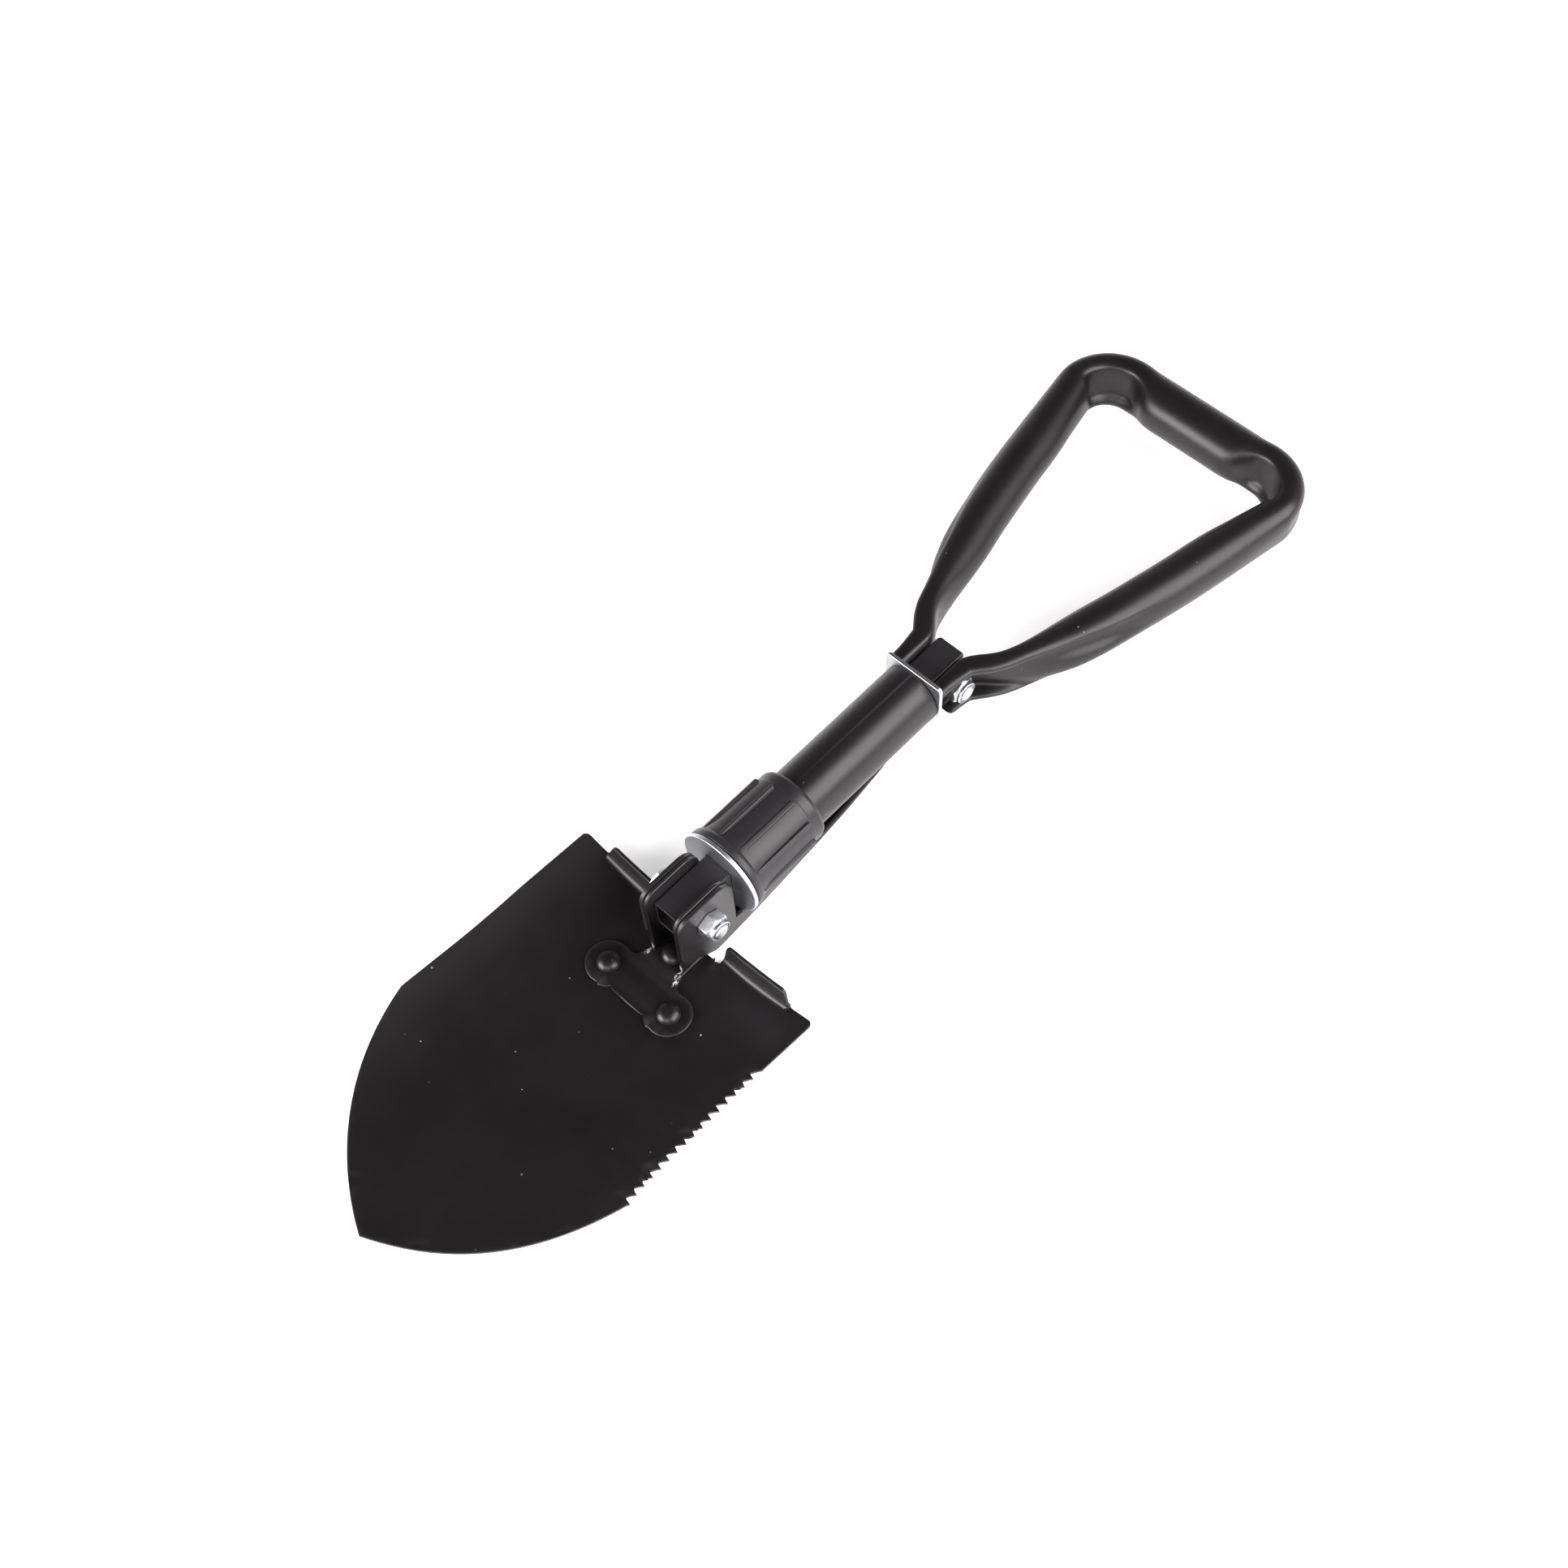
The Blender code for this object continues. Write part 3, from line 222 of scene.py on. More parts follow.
def finish_bmesh(bm):
    bmesh.ops.remove_doubles(bm, verts=bm.verts, dist=1e-4)
    bmesh.ops.recalc_face_normals(bm, faces=bm.faces)


def add_piece(name, bm, nodes, material, smooth_angle=38, weighted=True):
    """Make a piece from a bmesh in shaft-frame millimetres; it stands for the given nodes."""
    finish_bmesh(bm)
    bmesh.ops.transform(bm, matrix=Matrix.Translation(SHAFT_ORIGIN) @ Matrix.Scale(MM, 4), verts=bm.verts)
    mesh = bpy.data.meshes.new(name)
    bm.to_mesh(mesh)
    bm.free()
    for polygon in mesh.polygons:
        polygon.use_smooth = True
    mesh.set_sharp_from_angle(angle=math.radians(smooth_angle))
    piece = bpy.data.objects.new(name, mesh)
    bpy.context.scene.collection.objects.link(piece)
    mesh.materials.append(material)
    if weighted:
        modifier = piece.modifiers.new("even_normals", "WEIGHTED_NORMAL")
        modifier.weight = 80
        modifier.keep_sharp = True
    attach(piece, BODY_OF[nodes[0]])
    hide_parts(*nodes)
    return piece


def combine(operation, base, *others):
    """Boolean the other bmeshes into or out of the base and return the result."""
    holders = []
    for index, bm in enumerate((base, *others)):
        finish_bmesh(bm)
        mesh = bpy.data.meshes.new(f"temporary_{index}")
        bm.to_mesh(mesh)
        bm.free()
        holder = bpy.data.objects.new(mesh.name, mesh)
        bpy.context.scene.collection.objects.link(holder)
        holders.append(holder)
    for other in holders[1:]:
        modifier = holders[0].modifiers.new("combine", "BOOLEAN")
        modifier.operation = operation
        modifier.solver = "EXACT"
        modifier.object = other
    depsgraph = bpy.context.evaluated_depsgraph_get()
    result = bmesh.new()
    result.from_mesh(holders[0].evaluated_get(depsgraph).to_mesh())
    for holder in holders:
        mesh = holder.data
        bpy.data.objects.remove(holder)
        bpy.data.meshes.remove(mesh)
    return result


def arc(centre, radius, start, stop, steps):
    """Points of a plane arc; angles in degrees."""
    points = []
    for index in range(steps + 1):
        angle = math.radians(start + (stop - start) * index / steps)
        points.append((centre[0] + radius * math.cos(angle), centre[1] + radius * math.sin(angle)))
    return points


def interpolate(table, x):
    """Read a table of (x, value) rows, in rising x, with straight lines between them."""
    if x <= table[0][0]:
        return table[0][1]
    for (x0, value0), (x1, value1) in zip(table, table[1:]):
        if x <= x1:
            return value0 + (value1 - value0) * (x - x0) / (x1 - x0)
    return table[-1][1]


def smoothstep(value, low, high):
    share = min(max((value - low) / (high - low), 0.0), 1.0)
    return share * share * (3 - 2 * share)


def signed_area(loop):
    total = 0.0
    for (x0, y0), (x1, y1) in zip(loop, loop[1:] + loop[:1]):
        total += x0 * y1 - x1 * y0
    return total / 2


def inset_loop(loop, distance):
    """Move a closed plane loop inward along its corner normals."""
    turn = 1 if signed_area(loop) > 0 else -1
    result = []
    count = len(loop)
    for index, point in enumerate(loop):
        here = Vector(point)
        one = (here - Vector(loop[index - 1])).normalized()
        two = (Vector(loop[(index + 1) % count]) - here).normalized()
        normal = Vector((-(one.y + two.y), one.x + two.x)).normalized() * turn
        cosine = max(normal.dot(Vector((-one.y, one.x)) * turn), 0.6)
        result.append(tuple(here + normal * (distance / cosine)))
    return result


def skin(loops):
    """Join equal-length loops of points, one after another, and close both ends."""
    bm = bmesh.new()
    rings = [[bm.verts.new(point) for point in loop] for loop in loops]
    size = len(rings[0])
    for near, far in zip(rings, rings[1:]):
        for index in range(size):
            following = (index + 1) % size
            bm.faces.new((near[index], near[following], far[following], far[index]))
    bm.faces.new(rings[0])
    bm.faces.new(rings[-1])
    return bm


def rim_levels(low, high, edge):
    """Levels and insets that round both rims of a sheet over the width called edge."""
    near = ROUND_SHARE * edge
    return ((low, edge), (low + near, near), (low + edge, 0),
            (high - edge, 0), (high - near, near), (high, edge))


def soft_prism(outline, low, high, place, edge):
    """Extruded outline whose two rims are rounded."""
    loops = []
    for level, inset in rim_levels(low, high, edge):
        loop = inset_loop(outline, inset) if inset else outline
        loops.append([place(u, v, level) for u, v in loop])
    return skin(loops)


def along_x(u, v, level):
    return (level, u, v)


def along_y(u, v, level):
    return (u, level, v)


def about_pivot(pivot_x):
    """Placing function of what is turned about a pivot's axis."""
    return lambda u, v, level: (pivot_x + u, level, v)


def upright(x, y):
    """Placing function of what is turned about an upright axis."""
    return lambda u, v, level: (x + u, y + v, level)


def corner_curve(before, here, after, reach, steps):
    """Points of the curve that rounds one corner, reach away from it on both sides."""
    start = here + (before - here).normalized() * reach
    stop = here + (after - here).normalized() * reach
    points = []
    for step in range(steps + 1):
        share = step / steps
        points.append(tuple(start * (1 - share) ** 2 + here * (2 * share * (1 - share)) + stop * share ** 2))
    return points


def lathe(profile, place, steps=96):
    """Turn a closed (radius, height) profile; place(u, v, height) gives each point."""
    bm = bmesh.new()
    rings = []
    for radius, height in profile:
        if radius == 0:
            rings.append([bm.verts.new(place(0, 0, height))])
            continue
        ring = []
        for index in range(steps):
            angle = 2 * math.pi * index / steps
            ring.append(bm.verts.new(place(radius * math.cos(angle), radius * math.sin(angle), height)))
        rings.append(ring)
    for near, far in zip(rings, rings[1:] + rings[:1]):
        if len(near) == 1 and len(far) == 1:
            continue
        for index in range(max(len(near), len(far))):
            corners = [near[index % len(near)], near[(index + 1) % len(near)],
                       far[(index + 1) % len(far)], far[index % len(far)]]
            bm.faces.new(list(dict.fromkeys(corners)))
    return bm


def rounded_profile(profile, radius, steps=3):
    """Round every corner of a closed (radius, height) profile that has room for it."""
    result = []
    count = len(profile)
    for index, point in enumerate(profile):
        here = Vector(point)
        before = Vector(profile[index - 1])
        after = Vector(profile[(index + 1) % count])
        if point[0] == 0 or (here - before).length < 1e-6 or (after - here).length < 1e-6:
            result.append(point)
            continue
        reach = min(radius, 0.45 * (here - before).length, 0.45 * (after - here).length)
        result += corner_curve(before, here, after, reach, steps)
    return result


def refined(node, material, smooth_angle=38, bevel=0.0):
    """Carry a CAD node over as a welded, smooth-shaded piece with a small bevel."""
    source = frame["nodes"][node]
    bm = bmesh.new()
    bm.from_mesh(source.data)
    bmesh.ops.remove_doubles(bm, verts=bm.verts, dist=1e-6)
    bmesh.ops.dissolve_limit(bm, angle_limit=math.radians(1.0), verts=bm.verts, edges=bm.edges)
    if bevel:
        sharp = [edge for edge in bm.edges
                 if len(edge.link_faces) == 2 and edge.calc_face_angle(0) > math.radians(35)]
        bmesh.ops.bevel(bm, geom=sharp, offset=bevel * MM, segments=2, profile=0.6, affect="EDGES",
                        clamp_overlap=True)
    to_shaft = Matrix.Scale(1 / MM, 4) @ Matrix.Translation(-SHAFT_ORIGIN)
    bmesh.ops.transform(bm, matrix=to_shaft, verts=bm.verts)
    return add_piece(node + "_fine", bm, [node], material, smooth_angle)


# ---------------------------------------------------------------- blade

def blade_rise(x, y):
    """Height of the blade's top surface over its flat seat."""
    beyond_seat = max(abs(y) - SEAT_HALF_WIDTH, 0) / (SHOULDER_HALF_WIDTH - SEAT_HALF_WIDTH)
    run = BEND_START - x
    bend = min(max(run, 0), BEND_LENGTH)
    climb = BLADE_SLOPE * (bend * bend / (2 * BEND_LENGTH) + max(run - BEND_LENGTH, 0))
    return DISH_RISE * beyond_seat ** 2 + climb


def blade_point(x, y, depth):
    """Pressed position of a blank's point; the treads' folds swell towards their middles."""
    along = min(max((abs(y) - TREAD_INNER) / (TREAD_OUTER - TREAD_INNER), 0), 1)
    swell = TREAD_SWELL * math.sin(math.pi * along)
    line = FOLD_LINE - swell
    folded = max(x - line, 0)
    share = 1 - smoothstep(abs(y), TREAD_OUTER, TREAD_OUTER + TREAD_BLEND)
    if folded == 0 or share < 0.02 or abs(y) < TREAD_INNER - 0.01:
        return (x, y, SEAT_Z + blade_rise(x, y) - depth)
    radius = (FOLD_RADIUS + swell) / share
    angle = min(folded / radius, FOLD_ANGLE * share)
    straight = folded - radius * angle
    base = SEAT_Z + blade_rise(line, y) + radius
    return (line + (radius + depth) * math.sin(angle) + straight * math.cos(angle), y,
            base - (radius + depth) * math.cos(angle) + straight * math.sin(angle))


def inward_directions(rims):
    """Sum, for each vertex of the outline, of its edges' directions into the sheet."""
    inward = {}
    for rim in rims:
        face_centre = rim.link_faces[0].calc_center_median()
        middle = (rim.verts[0].co + rim.verts[1].co) / 2
        along = (rim.verts[1].co - rim.verts[0].co).normalized()
        normal = Vector((-along.y, along.x, 0))
        if normal.dot(face_centre - middle) < 0:
            normal.negate()
        for vert in rim.verts:
            inward[vert] = inward.get(vert, Vector((0, 0, 0))) + normal
    return inward


def pressed_sheet(outline, thickness, place, cuts_x, cuts_y, edge):
    """Cut a flat outline into cells, thicken it with rounded rims and press it into shape."""
    bm = bmesh.new()
    bm.faces.new([bm.verts.new((x, y, 0)) for x, y in outline])
    for position, normal in [(x, (1, 0, 0)) for x in cuts_x] + [(y, (0, 1, 0)) for y in cuts_y]:
        bmesh.ops.bisect_plane(bm, geom=bm.verts[:] + bm.edges[:] + bm.faces[:],
                               plane_co=Vector(normal) * position, plane_no=normal, dist=1e-3)
    bmesh.ops.remove_doubles(bm, verts=bm.verts, dist=0.05)
    bmesh.ops.recalc_face_normals(bm, faces=bm.faces)
    rims = [edge_line for edge_line in bm.edges if len(edge_line.link_faces) == 1]
    inward = inward_directions(rims)
    levels = rim_levels(0, thickness, edge)
    rings = []
    for depth, inset in levels:
        ring = {}
        for vert, normal in inward.items():
            spot = vert.co + normal.normalized() * inset
            ring[vert] = Vector(place(spot.x, spot.y, depth))
        rings.append(ring)
    out = bmesh.new()
    sides = []
    for depth, ring in ((0, rings[0]), (thickness, rings[-1])):
        made = {}
        for vert in bm.verts:
            spot = ring[vert] if vert in ring else Vector(place(vert.co.x, vert.co.y, depth))
            made[vert] = out.verts.new(spot)
        for face in bm.faces:
            out.faces.new([made[vert] for vert in face.verts])
        sides.append(made)
    between = [{vert: out.verts.new(ring[vert]) for vert in inward} for ring in rings[1:-1]]
    stack = [sides[0]] + between + [sides[1]]
    for rim in rims:
        a, b = rim.verts
        for near, far in zip(stack, stack[1:]):
            out.faces.new((near[a], near[b], far[b], far[a]))
    bm.free()
    return out


def saw_edge():
    """Outline of the saw teeth, from the rear forward, as (x, half width) points."""
    pitch = (TEETH_START - TEETH_END) / TEETH
    points = []
    for index in range(TEETH):
        tip = TEETH_START - index * pitch
        valley = tip - TOOTH_RAMP * pitch
        points.append((tip - 0.06 * pitch, interpolate(SAW_LINE, tip) - 0.15))
        points.append((tip - 0.4 * pitch, interpolate(SAW_LINE, tip) - 0.46 * TOOTH_DEPTH))
        points.append((valley, interpolate(SAW_LINE, valley) - TOOTH_DEPTH))
        points.append((valley - 0.05 * pitch, interpolate(SAW_LINE, valley) - TOOTH_DEPTH + 0.4))
    points.append((TEETH_END, interpolate(SAW_LINE, TEETH_END)))
    return points


def cutting_edge():
    """Arc from a shoulder to the tip, both ends included."""
    start = Vector((SHOULDER_X, SHOULDER_HALF_WIDTH))
    stop = Vector((TIP_X, 0))
    chord = stop - start
    outward = Vector((chord.y, -chord.x)).normalized()
    steps = 40
    points = []
    for index in range(steps + 1):
        share = index / steps
        point = start + chord * share + outward * (EDGE_BULGE * 4 * share * (1 - share))
        points.append((point.x, point.y))
    return points


def blade_half(side_points):
    """Blank of one half of the blade, from the middle of its rear edge to the tip."""
    tread_top = FOLD_LINE + TREAD_LENGTH
    half = [(CENTRE_EDGE, 0), (CENTRE_EDGE, TREAD_INNER - 2 * RELIEF_RADIUS)]
    half += arc((RELIEF_X, TREAD_INNER - RELIEF_RADIUS), RELIEF_RADIUS, 270, 90, 12)
    half += [(FOLD_LINE + 0.6, TREAD_INNER)]
    half += arc((tread_top - 3.0, TREAD_INNER + 3.5), 3.0, -70, 0, 6)
    half += arc((tread_top - 3.4, TREAD_OUTER - 5.0), 3.4, 0, 62, 6)
    half += arc((BLADE_REAR + 1.0, TREAD_OUTER + 1.0), 1.0, 270, 180, 5)
    corner = (BLADE_REAR - REAR_CORNER_RADIUS, REAR_HALF_WIDTH - REAR_CORNER_RADIUS)
    half += arc(corner, REAR_CORNER_RADIUS, 0, 90, 10)
    return half + side_points


def seat_height(x, y):
    return SEAT_Z + blade_rise(x, y)


def rivet_hole(x, y, radius, tail_radius):
    """Cutter for one rivet: a straight hole with a cone towards the blade's underside."""
    seat = seat_height(x, y)
    profile = [(0, seat + 6), (radius, seat + 6), (radius, seat - GAP), (tail_radius, seat - SHEET),
               (tail_radius, seat - SHEET - 1), (0, seat - SHEET - 1)]
    return lathe(profile, upright(x, y), steps=40)


def build_blade(material):
    plain = blade_half([PLAIN_SIDE] + cutting_edge())
    saw = blade_half(saw_edge() + cutting_edge()[1:])
    outline = plain + [(x, -y) for x, y in reversed(saw) if y > 0]
    cuts_x = [BLADE_REAR - 8 - BLADE_GRID * index for index in range(44)]
    cuts_x += [FOLD_LINE - TREAD_SWELL + 0.65 * index for index in range(10)]
    cuts_y = [BLADE_GRID * index for index in range(-16, 17)]
    cuts_y += [side * (TREAD_OUTER + TREAD_BLEND * index / 4) for side in (-1, 1) for index in range(5)]
    bm = pressed_sheet(outline, SHEET, blade_point, cuts_x, cuts_y, BLADE_RIM)
    holes = [rivet_hole(x, y, RIVET_HOLE, RIVET_TAIL_HOLE) for x, y in RIVETS.values()]
    bm = combine("DIFFERENCE", bm, *holes)
    add_piece("blade_fine", bm, ["blade"], material, 50)


# ---------------------------------------------------------------- bracket and rivets

def hinge_top(rear_low):
    """Top of an ear or cheek about the pivot: rear flat, top flat, front flat."""
    points = [(FLAT, rear_low)]
    points += arc((FLAT - REAR_CORNER, FLAT - REAR_CORNER), REAR_CORNER, 0, 90, 16)
    points += arc((FRONT_CORNER - FLAT, FLAT - FRONT_CORNER), FRONT_CORNER, 90, 180, 16)
    return points


def about_blade_pivot(points):
    return [(BLADE_PIVOT_X + x, z) for x, z in points]


def pivot_cutter(pivot_x):
    reach, radius = CUTTER_REACH, HOLE_RADIUS
    profile = [(0, -reach), (radius, -reach), (radius, reach), (0, reach)]
    return lathe(profile, about_pivot(pivot_x), steps=48)


def both_sides(points, faces):
    """The same rounded plate on both sides of the bar, between the given faces."""
    plates = []
    for side in (1, -1):
        low, high = sorted((side * faces[0], side * faces[1]))
        plates.append(soft_prism(about_blade_pivot(points), low, high, along_y, PRISM_EDGE))
    return plates


def build_bracket(material):
    half = [(BRACKET_REAR, 0), (BRACKET_REAR, EAR[1] + 0.4)] + BRACKET_NECK
    half += arc(LOBE, LOBE_RADIUS, -20, 225, 48) + BRACKET_FRONT
    outline = half + [(x, -y) for x, y in reversed(half) if y > 0]

    def base_point(x, y, depth):
        return (x, y, seat_height(x, y) + GAP + SHEET - depth)

    base = pressed_sheet(outline, SHEET, base_point, [-196, -192, -188, -184, -178, -170],
                         [-28, -24, -20, -16, 16, 20, 24, 28], BRACKET_RIM)
    foot = SEAT_Z + GAP + SHEET / 2
    points = hinge_top(-8) + [(-FLAT, foot), (-2.2, foot), (4, -26), (14, -14)]
    bm = combine("UNION", base, *both_sides(points, EAR))
    cutters = [rivet_hole(x, y, RIVET_HOLE, RIVET_HOLE) for x, y in RIVETS.values()]
    bm = combine("DIFFERENCE", bm, pivot_cutter(BLADE_PIVOT_X), *cutters)
    add_piece("bracket_fine", bm, ["blade_bracket"], material, 50)


def build_rivets(material):
    """Flush tail, shank and flattened dome of each rivet."""
    for name, (x, y) in RIVETS.items():
        seat = seat_height(x, y)
        head = seat + GAP + SHEET + GAP
        profile = [(0, seat - SHEET), (4.0, seat - SHEET), (4.2, seat - SHEET + 0.1), (2.6, seat - GAP),
                   (2.6, head), (5.5, head), (5.85, head + 0.2)]
        profile += [(radius, head + RIVET_FLATTENING * up if up > 0.2 else head + up)
                    for radius, up in arc((0, 0.2), RIVET_DOME, 6, 84, 12)]
        profile.append((0, profile[-1][1] + 0.05))
        bm = lathe(profile, upright(x, y), steps=64)
        add_piece(name + "_fine", bm, [name], material, 40, weighted=False)


# ---------------------------------------------------------------- pick

def pick_section(x):
    """Closed trough section at x, outer wall first, then the inner wall back."""
    half = interpolate(PICK_HALF_WIDTH, x)
    rim = interpolate(PICK_RIM, x)
    foot = interpolate(PICK_SIDE_FOOT, x)
    web = interpolate(PICK_WEB, x)
    web_half = min(interpolate(PICK_WEB_HALF, x), 0.8 * half)
    knee = ((0.62 * half + 0.38 * web_half), 0.30 * foot + 0.70 * web)
    depth = rim - web
    inner_half = max(half - (CHEEK[1] - CHEEK[0]), 0.25 * half)
    inner_web = min(web + SHEET, rim - 0.2 * depth)
    scale = inner_half / half
    edge = 0.22 * (half - inner_half)
    outer = [(half - 1.2 * edge, rim), (half, rim - 1.6 * edge), (half, foot), knee,
             (web_half, web), (0, web)]
    inner = [(inner_half + edge, rim), (inner_half, rim - edge),
             (inner_half, max(foot + 0.4, inner_web + 0.6 * (rim - inner_web))),
             (knee[0] * scale, inner_web + 0.25 * (rim - inner_web)),
             (web_half * scale, inner_web), (0, inner_web)]
    loop = outer + [(-y, z) for y, z in reversed(outer[:-1])]
    loop += [(-y, z) for y, z in inner] + list(reversed(inner[:-1]))
    return [(x, y, z) for y, z in loop]


def build_pick(material):
    stations = [-153.4, -152.9, -150.0] + [-146 + 6.0 * index for index in range(26)] + [7, 9.2, 10]
    trough = skin([pick_section(x) for x in stations])
    points = hinge_top(-20.6) + [(-FLAT, -17), (-FLAT + 0.5, -18.8), (-FLAT + 1.6, -20.4)]
    points += [(0.6, -33.0), (2.0, -34.0), (4.0, -34.3), (24, -32.4), (24, -22.2), (20.0, -21.4)]
    bm = combine("UNION", trough, *both_sides(points, CHEEK))
    bm = combine("DIFFERENCE", bm, pivot_cutter(BLADE_PIVOT_X))
    add_piece("pick_fine", bm, ["pick"], material, 42)


# ---------------------------------------------------------------- shaft, washer and collar

def build_shaft(tube_finish, bar_finish, plate_finish, washer_finish, bush_finish):
    tube = lathe(rounded_profile(TUBE_PROFILE, 0.4), along_x, 128)
    add_piece("shaft_tube_fine", tube, ["shaft_tube"], tube_finish, 50)
    refined("core_bar", bar_finish, 40, 0.25)
    refined("end_plate", plate_finish, 50, 0.3)
    profile = rounded_profile([(0, WASHER_FRONT), (WASHER_RADIUS, WASHER_FRONT), (WASHER_RADIUS, WASHER_REAR),
                               (0, WASHER_REAR)], 0.5)
    opening = rounded_rectangle(BAR_HALF[0] + GAP, BAR_HALF[1] + GAP, BAR_CORNER)
    cutter = soft_prism(opening, WASHER_FRONT - 5, WASHER_REAR + 4.8, along_x, 0.1)
    washer = combine("DIFFERENCE", lathe(profile, along_x, 128), cutter)
    add_piece("lock_washer_fine", washer, ["lock_washer"], washer_finish, 50)
    for node in ("blade_pivot_spacer", "grip_pivot_spacer"):
        refined(node, bush_finish)


def rounded_rectangle(half_u, half_v, radius, steps=6):
    points = []
    for corner, (su, sv) in enumerate(((1, 1), (-1, 1), (-1, -1), (1, -1))):
        centre = (su * (half_u - radius), sv * (half_v - radius))
        points += arc(centre, radius, 90 * corner, 90 * corner + 90, steps)
    return points


def collar_rib(angle):
    """One grip rib, a bar with rounded ends and a soft crest, lying along the collar."""
    outward = Vector((0, -math.cos(angle), math.sin(angle)))
    across = Vector((0, math.sin(angle), math.cos(angle)))
    half = RIB_HALF_WIDTH
    ends = arc((RIB_REAR - half, 0), half, -90, 90, 10) + arc((RIB_FRONT + half, 0), half, 90, 270, 10)
    loops = []
    for inset, radius in RIB_RISE:
        scale = (half - inset) / half
        loop = []
        for x, width in ends:
            centre_x = RIB_REAR - half if x > 0.5 * (RIB_REAR + RIB_FRONT) else RIB_FRONT + half
            place = Vector((centre_x + (x - centre_x) * scale, 0, 0))
            loop.append(place + outward * radius + across * width * scale)
        loops.append(loop)
    return skin(loops)


def build_collar(material):
    profile = [(radius, COLLAR_FRONT + behind) for radius, behind in COLLAR_SWELL]
    profile += [(19.95, RIB_REAR + 1), (19.7, RIB_REAR + 1.8), (19.65, COLLAR_REAR - 1.8),
                (18.7, COLLAR_REAR), (COLLAR_BORE, COLLAR_REAR), (COLLAR_BORE, COLLAR_FRONT + COLLAR_LIP),
                (COLLAR_LIP_BORE, COLLAR_FRONT + COLLAR_LIP)]
    body = lathe(rounded_profile(profile, 0.5), along_x, 128)
    ribs = [collar_rib(math.radians(RIB_PHASE + 360 / RIB_COUNT * index)) for index in range(RIB_COUNT)]
    add_piece("collar_fine", combine("UNION", body, *ribs), ["collar"], material, 45)


# ---------------------------------------------------------------- fasteners

def hex_body(lower, upper, pivot_x, chamfer_side):
    """Hexagonal prism along Y with softened corners and one chamfered face."""
    place = about_pivot(pivot_x)
    angles = [math.pi / 3 * index + math.pi / 6 for index in range(6)]
    corners = [Vector((HEX_RADIUS * math.cos(angle), HEX_RADIUS * math.sin(angle))) for angle in angles]
    outline = []
    for index, corner in enumerate(corners):
        outline += corner_curve(corners[index - 1], corner, corners[(index + 1) % 6], HEX_ROUND, 2)
    prism = skin([[place(u, v, level) for u, v in outline] for level in (lower, upper)])
    rim, rim_low = HEX_RIM
    if chamfer_side > 0:
        cone = [(0, lower - 1), (HEX_CLEAR, lower - 1), (HEX_CLEAR, upper - HEX_CHAMFER_DROP),
                (rim_low, upper - 0.1), (rim, upper), (0, upper)]
    else:
        cone = [(0, lower), (rim, lower), (rim_low, lower + 0.1), (HEX_CLEAR, lower + HEX_CHAMFER_DROP),
                (HEX_CLEAR, upper + 1), (0, upper + 1)]
    return combine("INTERSECT", prism, lathe(cone, place, 96))


def build_bolt(name, pivot_x, seat, material):
    """Bolt with a dished head on the +y side and thread rings at the end past its nut."""
    place = about_pivot(pivot_x)
    head_low = seat + GAP
    head_top = head_low + BOLT_HEAD_THICK
    tip = -(seat + GAP + NUT_HEX_THICK + NUT_RING_THICK + BOLT_TIP)
    dish = lathe([(0, head_top - 0.3), (4.6, head_top - 0.3), (5.0, head_top + 0.2), (0, head_top + 0.2)],
                 place, 64)
    head = combine("DIFFERENCE", hex_body(head_low, head_top, pivot_x, 1), dish)
    profile = [(0, tip), (2.9, tip), (3.35, tip + 0.25)]
    level = tip + 0.5
    while level < tip + THREAD_LENGTH:
        profile += [(BOLT_RADIUS, level + 0.35), (BOLT_RADIUS, level + 0.5), (THREAD_ROOT, level + 0.95)]
        level += THREAD_PITCH
    profile += [(BOLT_RADIUS, level + 0.4), (BOLT_RADIUS, head_low + 1), (0, head_low + 1)]
    shank = lathe(profile, place, 64)
    add_piece(name + "_fine", combine("UNION", head, shank), [name], material, 30)


def build_nut(name, pivot_x, seat, metal, plastic):
    """Lock nut on the -y side: hexagon, rolled ring, and the nylon in the ring."""
    place = about_pivot(pivot_x)
    face = -(seat + GAP)
    shoulder = face - NUT_HEX_THICK
    end = shoulder - NUT_RING_THICK
    hexagon = hex_body(shoulder, face, pivot_x, -1)
    ring = [(0, end), (5.75, end), (6.0, end + 0.7), (5.85, shoulder - 0.9), (6.5, shoulder),
            (6.5, shoulder + 0.5), (0, shoulder + 0.5)]
    bore = [(0, end - 1), (5.5, end - 1), (5.5, shoulder - GAP), (HOLE_RADIUS, shoulder - GAP),
            (HOLE_RADIUS, face + 1), (0, face + 1)]
    body = combine("UNION", hexagon, lathe(rounded_profile(ring, 0.5), place, 96))
    body = combine("DIFFERENCE", body, lathe(rounded_profile(bore, 0.05, 1), place, 64))
    add_piece(name + "_fine", body, [name], metal, 30)
    insert = [(4.1, end + 0.5), (5.35, end + 0.5), (5.35, shoulder - 0.6), (4.1, shoulder - 0.6)]
    insert_body = lathe(rounded_profile(insert, 0.25), place, 64)
    add_piece(name + "_insert_fine", insert_body, [name + "_insert"], plastic, 40)


# ---------------------------------------------------------------- grip

def mirrored_section(half):
    return half + [(out, -up) for out, up in reversed(half[1:-1])]


